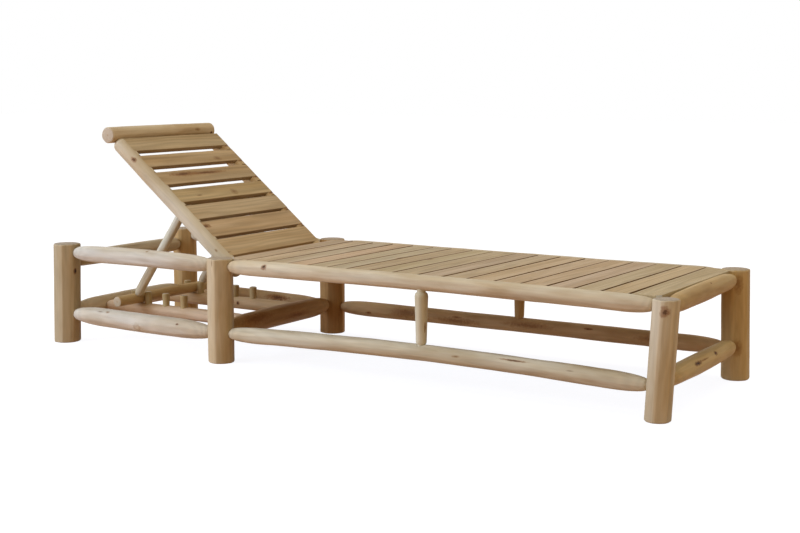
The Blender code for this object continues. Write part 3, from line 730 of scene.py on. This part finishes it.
def placedMarks(node, girth):
    # Kind, place, spread and rise of each mark on a log
    made = []
    for kind, along, turn, length, width, *raised in logMarks.get(node, ()):
        angle = math.radians(turn)
        place = (along, girth * math.cos(angle), girth * math.sin(angle))
        made.append((kind, place, (length / 2, width / 2, width / 2), sum(raised)))
    return made


def straighten(local, shape):
    # Takes the bow out of a log again.
    share = np.clip(local[:, 0] / shape["Length"], 0, 1)
    return local - np.sin(np.pi * share)[:, None] * np.array(shape["Bow"])


def makeLog(node, place, shape, slot, body, cutter=None):
    # Makes the log that stands for a frame node, in the frame's own place.
    number = nextNumber()
    marks = placedMarks(node, shape["Girth"])
    finish = woodFinish(f"{slot}_{node}", looks[slot], marks) if marks else plainFinish[slot]
    dice = random.Random(number)
    bow = shape.get("bow", 0.0)
    shape["Bow"] = (0.0, dice.uniform(-bow, bow), dice.uniform(-bow, bow) + shape.get("rise", 0.0))
    # The tint brings painted shade and painted light, besides the log's own tone
    shape["tint"] = logShadeAndLightTints.get(node, plainTint)
    shape.update({"Seed": float(number), "Stroke Run": looks[slot]["strokeRun"], "Material": finish})
    piece = runTree(logTree, node + "_log", shape)

    local = vectors(piece.data.vertices, "co")
    outward = straighten(local, shape) * (0, 1, 1)
    outward /= np.maximum(np.linalg.norm(outward, axis=1, keepdims=True), 1e-6)
    for _, spot, spread, raised in marks:
        if raised:
            away = (straighten(local, shape) - np.array(spot)) / np.array(spread)
            local += outward * (raised * np.exp(-(away ** 2).sum(1)))[:, None]
    piece.data.vertices.foreach_set("co", local.astype(np.float32).ravel())
    piece.data.transform(place)
    if cutter:
        cutAway(piece, cutter)
    writeLogAttributes(piece.data, place, shape, number)
    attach(piece, body)
    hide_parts(node)


# Cut ends of logs: where their edges are worn, and which faces count as the end
logEnd = {"wornAt": 0.002, "wornFade": 0.004, "facing": 0.80, "depth": 0.0025}


def writeLogAttributes(mesh, place, shape, number):
    local = straighten(localCoordinates(mesh, place), shape)
    fromEnd = np.minimum(local[:, 0], shape["Length"] - local[:, 0])
    cutEnds = shape.get("cutEnds", False)
    worn = np.exp(-np.abs(fromEnd - logEnd["wornAt"]) / logEnd["wornFade"]) * cutEnds
    # The tint carries painted shade and painted light onto every point of the log
    tint = np.tile(np.array(shape["tint"]) - 1, (len(local), 1))
    numbers = np.full(len(local), number)
    writeAttributes(mesh, "POINT", grain=local, pieceNumber=numbers, wear=worn, tint=tint)
    facing = np.abs(vectors(mesh.polygons, "normal") @ np.array(place.col[0][:3]))
    back = np.array(place.inverted())
    along = vectors(mesh.polygons, "center") @ back[0, :3] + back[0, 3]
    atEnd = np.minimum(np.abs(along), np.abs(shape["Length"] - along)) < logEnd["depth"]
    writeAttributes(mesh, "FACE", endCut=(facing > logEnd["facing"]) & atEnd & cutEnds)


def cutLog(look, length, radius):
    # Shape of a log that is cut off flat, with eased edges
    ease = look["ease"]
    farEase = look.get("farEase", ease)
    return {
        **look, "Length": length, "Girth": radius, "Tip Start": radius - ease, "Tip End": radius - farEase,
        "Taper Start": ease, "Taper End": farEase, "cutEnds": True,
    }


# Legs: upright logs cut flat, hewn in long flats, with a hole for every rail
legLog = {
    "Facet": 0.0010, "Lump": 0.0010, "Rings": 90, "Sides": 128, "Flats": 6.0, "Flat Depth": 0.48,
    "ease": 0.004, "flatTurns": {"head": 24, "mid": 14, "foot": -2},
}
sides = ("near", "far")
stations = ("head", "mid", "foot")
mouths = {}


def legAxis(side, station, z):
    # Middle of a leg at a height, and its radius
    points = nodePoints(f"leg_{side}_{station}")
    height = points[:, 2].max()
    ends = []
    for level in (0.0, height):
        ring = points[np.abs(points[:, 2] - level) < reading["level"]]
        ends.append(Vector((ring.min(0) + ring.max(0)) / 2))
    return ends[0].lerp(ends[1], z / height), np.ptp(points[:, 1]) / 2


def makeLegs():
    for side in sides:
        for station in stations:
            node = f"leg_{side}_{station}"
            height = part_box(node)[1].z
            bottom, radius = legAxis(side, station, 0.0)
            top = legAxis(side, station, height)[0]
            place = Matrix(((0, 0, 1), (0, -1, 0), (1, 0, 0))).transposed().to_4x4()
            place.col[0][0] = (top.x - bottom.x) / height
            place.translation = bottom
            bm = bmesh.new()
            for mouth in mouths[node]:
                addMouth(bm, *mouth)
            shape = cutLog(legLog, height, radius)
            shape["Flat Turn"] = math.radians(legLog["flatTurns"][station])
            makeLog(node, place, shape, "leg_log", "base", bm)


# Rails: round logs with long bullet ends, between the legs
railLog = {
    "Tip Start": 0.012, "Tip End": 0.012, "Facet": 0.0012, "Lump": 0.0013, "Rings": 190, "Sides": 64,
    "upper": 0.080, "lower": 0.115, "cross": 0.090, "headUpper": 0.030,
    "swell": 0.002, "bow": 0.0022, "stiffBow": 0.0006,
}


def tenonCentre(node, axis, first):
    # Middle of a rail's end, from the ring at the end of its tenon. The top of that ring may be cut away.
    points = nodePoints(node)
    places = points[:, axis] if first else -points[:, axis]
    ring = points[places < places.min() + reading["tenon"]]
    middle = (ring.min(0) + ring.max(0)) / 2
    middle[2] = ring[:, 2].min() + railLog["Tip End"]
    return Vector(middle)


def makeRail(node, first, last, axis, taper, swell, cutter=None, stiff=False):
    start = tenonCentre(node, axis, True)
    end = tenonCentre(node, axis, False)
    along = (end - start).normalized()
    ends = []
    for station, point, out in ((first, start, 1), (last, end, -1)):
        leg, radius = legAxis(*station, point.z)
        tenon = (leg - point).dot(along) * out + radius
        mouth = point + along * tenon * out
        ends.append((mouth, tenon))
        holes = mouths.setdefault("leg_{}_{}".format(*station), [])
        holes.append((mouth, along * out, tenon, railLog["Tip End"]))
    length = (ends[1][0] - ends[0][0]).length
    place = axesAt(ends[0][0], along, (0, 1, 0) if axis == 0 else (-1, 0, 0))
    local = nodePoints(node, place)
    ring = local[np.abs(local[:, 0] - length / 2) < reading["middle"]]
    girth = np.ptp(ring[:, 1]) / 2
    shape = {
        **railLog, "Length": length, "Girth": girth, "Swell": swell, "Taper Start": taper, "Taper End": taper,
        "Tenon Start": ends[0][1], "Tenon End": ends[1][1], "rise": ring[:, 2].min() + girth,
        "bow": railLog["stiffBow" if stiff else "bow"],
    }
    makeLog(node, place, shape, "peeled_log", "base", cutter)


def mouthAt(node, point, axis, first, look):
    # Hole for the tenon at the first or the last end of a node that lies along an axis
    low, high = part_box(node)
    tenon = look["Tenon End"]
    point[axis] = low[axis] + tenon if first else high[axis] - tenon
    direction = Vector((0, 0, 0))
    direction[axis] = 1 if first else -1
    return point, direction, tenon, look["Tip End"]


def makeSideRails():
    for side in sides:
        for level in ("upper", "lower"):
            for span, first, last in (("head", "head", "mid"), ("seat", "mid", "foot")):
                cutter = None
                if span == "seat":
                    cutter = bmesh.new()
                    spindle = f"spindle_{side}"
                    addMouth(cutter, *mouthAt(spindle, centreOf(spindle), 2, level == "lower", spindleLog))
                if (level, span) == ("upper", "seat"):
                    addLedge(cutter, side)
                node = f"rail_{side}_{level}_{span}"
                swell = railLog["swell"] if span == "head" else -railLog["swell"]
                makeRail(node, (side, first), (side, last), 0, railLog[level], swell, cutter, span == "seat")


# Ledges that the deck slats lie on. The cut goes well past the rail and above the slats.
ledge = {"slack": 0.0006, "innerShare": 0.8, "past": 0.05, "above": 0.08, "halfWidth": 0.5}


def addLedge(bm, side):
    # Ledge for the ends of the deck slats
    low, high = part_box("deck_slat_01")
    outer = (high.y if side == "far" else low.y) * (1 + ledge["slack"])
    ends = sorted((outer, outer * ledge["innerShare"]))
    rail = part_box(f"rail_{side}_upper_seat")
    lowest = (rail[0].x - ledge["past"], ends[0], low.z - ledge["slack"])
    addBlock(bm, lowest, (rail[1].x + ledge["past"], ends[1], high.z + ledge["above"]))


def addFootLedge(bm):
    # The last slat lies in the foot rail, with the rest of the log standing behind it.
    middle, size, turn = boardIn("deck_slat_18", Matrix())
    place = Matrix.Translation(middle) @ Matrix.Rotation(turn, 4, "Z")
    lowest = (-size[0], -ledge["halfWidth"], -size[2] / 2 - ledge["slack"])
    addBlock(bm, lowest, (size[0] / 2 + ledge["slack"], ledge["halfWidth"], ledge["above"]), place)


def makeCrossRails():
    for label in ("head_upper", "head_lower", "mid_lower", "foot_upper", "foot_lower"):
        station = label.split("_")[0]
        cutter = None
        if label in ("head_lower", "mid_lower"):
            cutter = bmesh.new()
            for side in sides:
                node = f"peg_rail_{side}"
                addMouth(cutter, *mouthAt(node, pegRailMiddle(node), 0, station == "head", pegRail))
        elif label == "foot_upper":
            cutter = bmesh.new()
            addFootLedge(cutter)
        taper = railLog["headUpper" if label == "head_upper" else "cross"]
        makeRail("cross_" + label, ("near", station), ("far", station), 1, taper, railLog["swell"], cutter)


# Spindles between the seat rails, slimmer at the foot
spindleLog = {
    "Tip Start": 0.0115, "Tip End": 0.0115, "Taper Start": 0.008, "Taper End": 0.013, "Tenon Start": 0.013,
    "Tenon End": 0.013, "Growth": 0.004, "Facet": 0.0006, "Lump": 0.0006, "Rings": 70, "Sides": 48,
}


def makeSpindles():
    for side in sides:
        node = f"spindle_{side}"
        low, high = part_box(node)
        tenon = spindleLog["Tenon End"]
        middle = centreOf(node)
        place = axesAt((middle.x, middle.y, low.z + tenon), (0, 0, 1), (0, -1, 0))
        girth = max(high.x - low.x, high.y - low.y) / 2 - spindleLog["Growth"] / 2
        shape = {**spindleLog, "Length": high.z - low.z - 2 * tenon, "Girth": girth}
        makeLog(node, place, shape, "peeled_log", "base")


# Peg rails with their rows of pegs
pegRail = {
    "Tip Start": 0.010, "Tip End": 0.010, "Taper Start": 0.040, "Taper End": 0.040, "Tenon Start": 0.015,
    "Tenon End": 0.015, "Facet": 0.0010, "Lump": 0.0010, "Rings": 140, "Sides": 56,
}
pegRow = {
    "Radius": 0.0105, "Flare": 0.0012, "Lean": 0.03, "Seed": 4, "sunk": 0.012, "rings": 24, "sides": 32,
    "topEase": 0.0022, "topShare": 0.80, "anyTurn": 6.28, "wornFade": 0.003, "topFacing": 0.85,
}


def pegRailMiddle(node):
    # The pegs on a rail don't count for its height.
    middle = centreOf(node)
    middle.z = centreOf("cross_head_lower").z
    return middle


def makePegRails():
    for side in sides:
        node = f"peg_rail_{side}"
        low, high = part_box(node)
        middle = pegRailMiddle(node)
        tenon = pegRail["Tenon End"]
        place = axesAt((low.x + tenon, middle.y, middle.z), (1, 0, 0), (0, 1, 0))
        girth = max((high.y - low.y) / 2, middle.z - low.z)
        shape = {**pegRail, "Length": high.x - low.x - 2 * tenon, "Girth": girth}
        makeLog(node, place, shape, "peeled_log", "base")
        makePegs(side, node, middle.z + girth - pegRow["sunk"])


pegInputs = {"Radius": 0.01, "Height": 0.04, "Flare": 0.001, "Lean": 0.03, "Seed": 0, "Material": None}


def buildPegTree():
    # A peg on every point, each leaning a little, widening to its eased top
    tree, given = newTree("pegRow", pegInputs)
    share = packed(addNode(tree, "GeometryNodeSplineParameter", output="Factor"))
    lifted = combined(0.0, 0.0, share * given["Height"])
    stem = moved(evenLine(tree, pegRow["rings"], (0.0, 0.0, 1.0)), "Position", lifted)
    left = given["Height"] - addNode(tree, "GeometryNodeInputPosition").parts()[2]
    wide = share * given["Flare"] + given["Radius"]
    wide = wide * ramp(left, 0.0, pegRow["topEase"], pegRow["topShare"], 1.0)
    peg = turnedLine(stem, pegRow["sides"], wide)
    low, high = given["Lean"] * -1.0, given["Lean"]
    values = {0: combined(low, low, 0.0), 1: combined(high, high, pegRow["anyTurn"]), "Seed": given["Seed"]}
    lean = addNode(tree, "FunctionNodeRandomValue", values, data_type="FLOAT_VECTOR")
    values = {"Points": given["Geometry"], "Instance": peg, "Rotation": lean}
    finishTree(addNode(tree, "GeometryNodeInstanceOnPoints", values), given["Material"])
    return tree


pegTree = buildPegTree()


def pegPlaces(node):
    # Middle of each peg's top
    points = nodePoints(node)
    tops = points[points[:, 2] > points[:, 2].max() - reading["level"]]
    along = np.sort(tops[:, 0])
    groups = np.split(along, np.flatnonzero(np.diff(along) > reading["pegGap"]) + 1)
    y = (tops[:, 1].min() + tops[:, 1].max()) / 2
    return np.array([((group[0] + group[-1]) / 2, y) for group in groups])


def makePegs(side, node, bottom):
    places = pegPlaces(node)
    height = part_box(node)[1].z - bottom
    seed = pegRow["Seed"] + sides.index(side)
    setting = {**pegRow, "Height": height, "Material": plainFinish["dowel"], "Seed": seed}
    points = [(x, y, bottom) for x, y in places]
    pegs = runTree(pegTree, f"pegs_{side}", setting, points)
    mesh = pegs.data
    local = vectors(mesh.vertices, "co")
    index = np.abs(local[:, :1] - places[:, 0]).argmin(1)
    away = local - np.array(points)[index]
    worn = np.exp(-(height - away[:, 2]) / pegRow["wornFade"])
    numbers = index + nextNumber() * 10
    writeAttributes(mesh, "POINT", grain=away[:, (2, 0, 1)], pieceNumber=numbers, wear=worn)
    writeAttributes(mesh, "FACE", endCut=vectors(mesh.polygons, "normal")[:, 2] > pegRow["topFacing"])
    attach(pegs, "base")
    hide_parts(node)


# Slats: sawn boards on points that carry their size and turn, each a little higher or more twisted
slatInputs = {
    "Ease": 0.0025, "Twist": 0.01, "Waver": 0.0006, "Rise": 0.0004, "Dent": 0.0006, "Seed": 0,
    "Material": None,
}
slatGrid = {"Vertices X": 18, "Vertices Y": 70, "Vertices Z": 9}
slatNoise = {
    "edgeScale": 9.0, "edgeStep": 3.3, "edgeLevel": 0.55,
    "dentAlong": 22.0, "dentAcross": 5.0, "dentStep": 2.7,
}


def buildSlatTree():
    tree, given = newTree("slatRow", slatInputs)

    def store(geometry, name, kind, domain, value):
        values = {"Geometry": geometry, "Name": name, "Value": value}
        return addNode(tree, "GeometryNodeStoreNamedAttribute", values, data_type=kind, domain=domain)

    def stored(name, kind):
        return addNode(tree, "GeometryNodeInputNamedAttribute", {"Name": name}, data_type=kind)

    position = addNode(tree, "GeometryNodeInputPosition")
    block = store(addNode(tree, "GeometryNodeMeshCube", slatGrid), "unit", "FLOAT_VECTOR", "POINT", position)
    boards = addNode(tree, "GeometryNodeInstanceOnPoints", {"Points": given["Geometry"], "Instance": block})
    boards = store(boards, "slatMiddle", "FLOAT_VECTOR", "INSTANCE", position)
    boards = store(boards, "slatNumber", "FLOAT", "INSTANCE", addNode(tree, "GeometryNodeInputIndex"))
    loose = addNode(tree, "GeometryNodeRealizeInstances", {"Geometry": boards})

    # Grid lines drawn to the edges, and the edges rounded off
    size = stored("slatSize", "FLOAT_VECTOR").parts()
    inner = []
    spread = []
    for spot, whole in zip(stored("unit", "FLOAT_VECTOR").parts(), size):
        place = (packed(spot + 0.5) - 0.5) * whole
        limit = whole * 0.5 - given["Ease"]
        inner.append(reckon("MAXIMUM", reckon("MINIMUM", place, limit), limit * -1.0))
        spread.append(place - inner[-1])
    corner = combined(*spread)
    share = given["Ease"] / reckon("MAXIMUM", reckon("LENGTH", corner), 1e-6)
    eased = combined(*inner) + corner * reckon("MINIMUM", share, 1.0)
    inside, across, up = eased.parts()

    # Each board's own number drives its chance differences
    number = stored("slatNumber", "FLOAT")

    def chance(extra):
        values = {2: -1.0, 3: 1.0, "ID": number, "Seed": given["Seed"] + float(extra)}
        return addNode(tree, "FunctionNodeRandomValue", values, 1, data_type="FLOAT")

    row = number * slatNoise["edgeStep"] + reckon("SIGN", inside)
    edge = noise(combined(across * slatNoise["edgeScale"], row, 0.0), detail=3.0)
    edge = (edge - slatNoise["edgeLevel"]) * (given["Waver"] * 2.0)
    inside = edge * (inside / (size[0] * 0.5)) + inside
    twist = chance(1) * (across / size[1]) * 2.0 + chance(2) * 0.5
    tilt = twist * given["Twist"] * inside
    row = number * slatNoise["dentStep"]
    spot = combined(inside * slatNoise["dentAlong"], across * slatNoise["dentAcross"], row)
    dents = (noise(spot) - 0.5) * given["Dent"]
    up = chance(3) * given["Rise"] + (up + (tilt + dents))
    values = {"Vector": combined(inside, across, up), "Angle": stored("slatTurn", "FLOAT")}
    turned = addNode(tree, "ShaderNodeVectorRotate", values, rotation_type="Z_AXIS")
    shaped = moved(loose, "Position", turned + stored("slatMiddle", "FLOAT_VECTOR"))
    for name in ("unit", "slatMiddle", "slatNumber", "slatSize", "slatTurn"):
        shaped = addNode(tree, "GeometryNodeRemoveAttribute", {"Geometry": shaped, "Name": name})
    finishTree(shaped, given["Material"])
    return tree


slatTree = buildSlatTree()
boardTurns = np.linspace(-0.06, 0.06, 241)


def turnedBack(points, turn):
    # Points in the axes of a board that is turned about Z
    x = points[:, 0] * math.cos(turn) + points[:, 1] * math.sin(turn)
    y = points[:, 1] * math.cos(turn) - points[:, 0] * math.sin(turn)
    return np.stack([x, y, points[:, 2]], 1)


def boardIn(node, place):
    # Middle, size and turn of a board. It is turned about Z by the angle at which it is narrowest.
    local = nodePoints(node, place)
    turn = min(boardTurns, key=lambda angle: np.ptp(turnedBack(local, angle)[:, 0]))
    straight = turnedBack(local, turn)
    low, high = straight.min(0), straight.max(0)
    middle = Matrix.Rotation(turn, 4, "Z") @ Vector((low + high) / 2)
    return middle, high - low, turn


def makeSlatRow(name, nodes, boards, place, row, finish, body, cutter=None):
    # Boards follow the nodes they stand for: place has X along the row and Z off its face.
    middles, sizes, turns = zip(*boards)
    setting = {**row, "Material": finish}
    made = runTree(slatTree, name, setting, middles, slatSize=sizes, slatTurn=turns)
    made.data.transform(place)
    if cutter:
        cutAway(made, cutter)
    writeSlatAttributes(made.data, place, boards, row)
    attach(made, body)
    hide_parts(*nodes)


# Long edges of slats: painted shade on their sides in the gaps, worn on top
slatEdge = {"gapFrom": 0.0016, "gapFade": 0.0008, "wornAt": 0.004, "wornFade": 0.002}


def writeSlatAttributes(mesh, place, boards, row):
    local = localCoordinates(mesh, place)
    nearest = np.full(len(local), np.inf)
    grain = np.zeros_like(local)
    number = np.zeros(len(local))
    edge = np.zeros(len(local))
    tint = np.zeros_like(local)
    dice = random.Random(row["Seed"])
    for index, (middle, size, turn) in enumerate(boards):
        x, y, z = turnedBack(local - np.array(middle), turn).T
        left = size[0] / 2 - np.abs(x)
        own = -left < nearest
        nearest[own] = -left[own]
        grain[own] = np.stack([y, x, z], 1)[own]
        number[own] = index + row["number"]
        shown = (index == 0) & (x < 0) | (index == len(boards) - 1) & (x > 0)
        edge[own] = np.where(shown, 1.0, left)[own]
        tint[own] = [dice.uniform(-reach, reach) for reach in row["tints"]]
    # Painted shade on the slat sides beside each gap, written as the side attribute; none on the outer sides
    # of the first and last boards
    gap = np.clip((slatEdge["gapFrom"] - edge) / slatEdge["gapFade"], 0, 1) * row["gapShade"]
    worn = np.exp(-np.abs(edge - slatEdge["wornAt"]) / slatEdge["wornFade"]) * (grain[:, 2] > 0)
    writeAttributes(mesh, "POINT", grain=grain, pieceNumber=number, tint=tint, side=gap, wear=worn)


deckSlats = {
    "Ease": 0.0010, "Twist": 0.008, "Waver": 0.0006, "Rise": 0.0003, "Dent": 0.0006, "Seed": 11,
    "number": 200.0, "gapShade": 0.85, "tints": (0.045, 0.035, 0.07), "legGap": 0.0015, "legCut": 0.08,
}
# Marks on slats: kind, place in the frame and spread
deckMarks = [
    ("heart", (0.530, 0.020, 0.305), (0.009, 0.032, 0.02)),
    ("softKnot", (0.162, 0.015, 0.305), (0.010, 0.022, 0.02)),
    ("heart", (0.071, -0.004, 0.305), (0.007, 0.028, 0.02)),
]


def makeDeck():
    nodes = [f"deck_slat_{number:02d}" for number in range(1, 19)]
    finish = woodFinish("sawnDeckSlat", sawnLook, deckMarks, "object")
    bm = bmesh.new()
    for station in ("mid", "foot"):
        for side in sides:
            point, radius = legAxis(side, station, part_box(nodes[0])[0].z)
            reach = radius + deckSlats["legGap"]
            bmesh.ops.create_cone(
                bm, cap_ends=True, segments=64, radius1=reach, radius2=reach, depth=deckSlats["legCut"],
                matrix=Matrix.Translation(point),
            )
    boards = [boardIn(node, Matrix()) for node in nodes]
    makeSlatRow("deck_slats", nodes, boards, Matrix(), deckSlats, finish, "base", bm)


# The back: a slatted frame that turns on the rod
backSlats = {
    "Ease": 0.0016, "Twist": 0.010, "Waver": 0.0010, "Rise": 0.0005, "Dent": 0.0008, "Seed": 5,
    "number": 300.0, "gapShade": 0.38, "tints": (0.03, 0.02, 0.07),
    "planed": 0.0035, "farReach": 0.012, "lower": (0.004, 0.0, 0.0, 0.0, 0.0, 0.0, 0.0),
    "upper": (0.0055, 0.0048, 0.0006, 0.0, 0.0, 0.0, 0.0),
}
backMarks = [
    ("softKnot", (-0.703, 0.121, 0.5636), (0.013, 0.026, 0.013)),
    ("heart", (-0.659, -0.095, 0.528), (0.012, 0.085, 0.012)),
    ("heart", (-0.6565, 0.010, 0.526), (0.0085, 0.120, 0.0085)),
    ("softKnot", (-0.583, 0.054, 0.4665), (0.016, 0.020, 0.016)),
    ("heart", (-0.4826, -0.205, 0.3857), (0.012, 0.024, 0.012)),
]
backRail = {
    "Tip Start": 0.0075, "Tip End": 0.009, "Taper End": 0.016, "Tenon End": 0.016, "Facet": 0.0009,
    "Lump": 0.0008, "Rings": 150, "Sides": 64, "slack": 0.0007, "open": 0.03,
}
# Painted shadow where each back slat leaves its notch in the far rail
notchShade = ("heart", 95, 0.015, 0.036)  # kind, degrees round the rail, length and width
headrest = {"Facet": 0.0009, "Lump": 0.0010, "Rings": 120, "Sides": 72, "ease": 0.004, "farEase": 0.010}


def hungLog(node, place, look):
    # Place and shape of a log that is round at its pivot and has a tenon at the other end, and its hole
    low, high = spanIn(node, place)
    girth = max(high.y - low.y, high.z - low.z) / 2
    y = (low.y + high.y) / 2
    tenon = look["Tenon End"]
    shape = {**look, "Length": high.x - low.x - tenon, "Girth": girth, "Taper Start": girth}
    mortise = (place @ Vector((high.x - tenon, y, 0.0)), -place.col[0].xyz, tenon, look["Tip End"])
    return place @ Matrix.Translation((low.x, y, 0.0)), shape, mortise


def makeBack():
    up = centreOf("back_slat_7") - centreOf("back_slat_1")
    place = axesAt(jointPlace("back_recline"), up, (0, -1, 0))
    nodes = [f"back_slat_{number}" for number in range(1, 8)]
    finish = woodFinish("sawnBackSlat", backLook, backMarks, "object")
    boards = [backBoard(node, index, place) for index, node in enumerate(nodes)]
    makeSlatRow("back_slats", nodes, boards, place, backSlats, finish, "backrest")
    bm = bmesh.new()
    for side in sides:
        addMouth(bm, *makeBackRail(f"back_rail_{side}", boards, place))
    makeRod("headrest_log", "peeled_log", "backrest", headrest, bm)


def backBoard(node, index, place):
    # Planed thinner from beneath, and laid over the far rail
    middle, size, turn = boardIn(node, place)
    lower, upper = backSlats["lower"][index], backSlats["upper"][index]
    middle += Vector((upper - lower, -backSlats["farReach"], backSlats["planed"])) / 2
    return middle, size + (lower + upper, backSlats["farReach"], -backSlats["planed"]), turn


def makeBackRail(node, boards, place):
    # Makes a rail with a notch for each slat, and returns its hole in the headrest.
    start, shape, mortise = hungLog(node, place, backRail)
    slack = Vector((backRail["slack"], 0.0, backRail["slack"]))
    bm = bmesh.new()
    for middle, size, _ in boards:
        slatLow = middle - Vector(size) / 2
        slatHigh = middle + Vector(size) / 2
        slatHigh.z = backRail["open"]
        addBlock(bm, slatLow - slack, slatHigh + slack, place)
    if node == "back_rail_far":
        # Painted shadow on the rail where each slat leaves its notch
        kind, turn, length, width = notchShade
        low = spanIn(node, place)[0]
        edges = [middle.x - size[0] / 2 - low.x for middle, size, _ in boards[1:]]
        logMarks[node] = [(kind, edge - length / 4, turn, length, width) for edge in edges]
    makeLog(node, start, shape, "peeled_log", "backrest", bm)
    return mortise


# The prop: two struts on a rung and a bar that drops between the pegs
propStrut = {
    "Tip Start": 0.005, "Tip End": 0.008, "Taper End": 0.020, "Tenon End": 0.012, "Facet": 0.0006,
    "Lump": 0.0006, "Rings": 110, "Sides": 48,
}
propBar = {"Facet": 0.0005, "Lump": 0.0005, "Rings": 110, "Sides": 48, "ease": 0.003}


def makeProp():
    pivot = jointPlace("prop_swing")
    place = axesAt(pivot, centreOf("prop_bar") - pivot, (0, -1, 0))
    bm = bmesh.new()
    for side in sides:
        node = f"prop_strut_{side}"
        start, shape, mortise = hungLog(node, place, propStrut)
        makeLog(node, start, shape, "peeled_log", "prop")
        addMouth(bm, *mortise)
    makeRod("prop_bar", "peeled_log", "prop", propBar, bm)


# Plain turned rods that the back and the prop swing on
rods = {"hinge_rod": "base", "prop_rung": "backrest"}
rodShape = {"Facet": 0.0, "Lump": 0.0002, "Rings": 110, "Sides": 48, "ease": 0.0008}


def makeRod(node, slot, body, look, cutter=None):
    # A log across the lounger, cut flat at both ends
    low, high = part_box(node)
    middle = centreOf(node)
    place = axesAt((middle.x, low.y, middle.z), (0, 1, 0), (-1, 0, 0))
    shape = cutLog(look, high.y - low.y, max(high.x - low.x, high.z - low.z) / 2)
    makeLog(node, place, shape, slot, body, cutter)


makeSideRails()
makeCrossRails()
makeSpindles()
print("rails and spindles made")
makePegRails()
makeLegs()
print("legs and peg rails made")
makeDeck()
makeBack()
print("deck and back made")
makeProp()
for node, body in rods.items():
    makeRod(node, "dowel", body, rodShape)
print("prop and rods made:", pieceCount, "pieces")
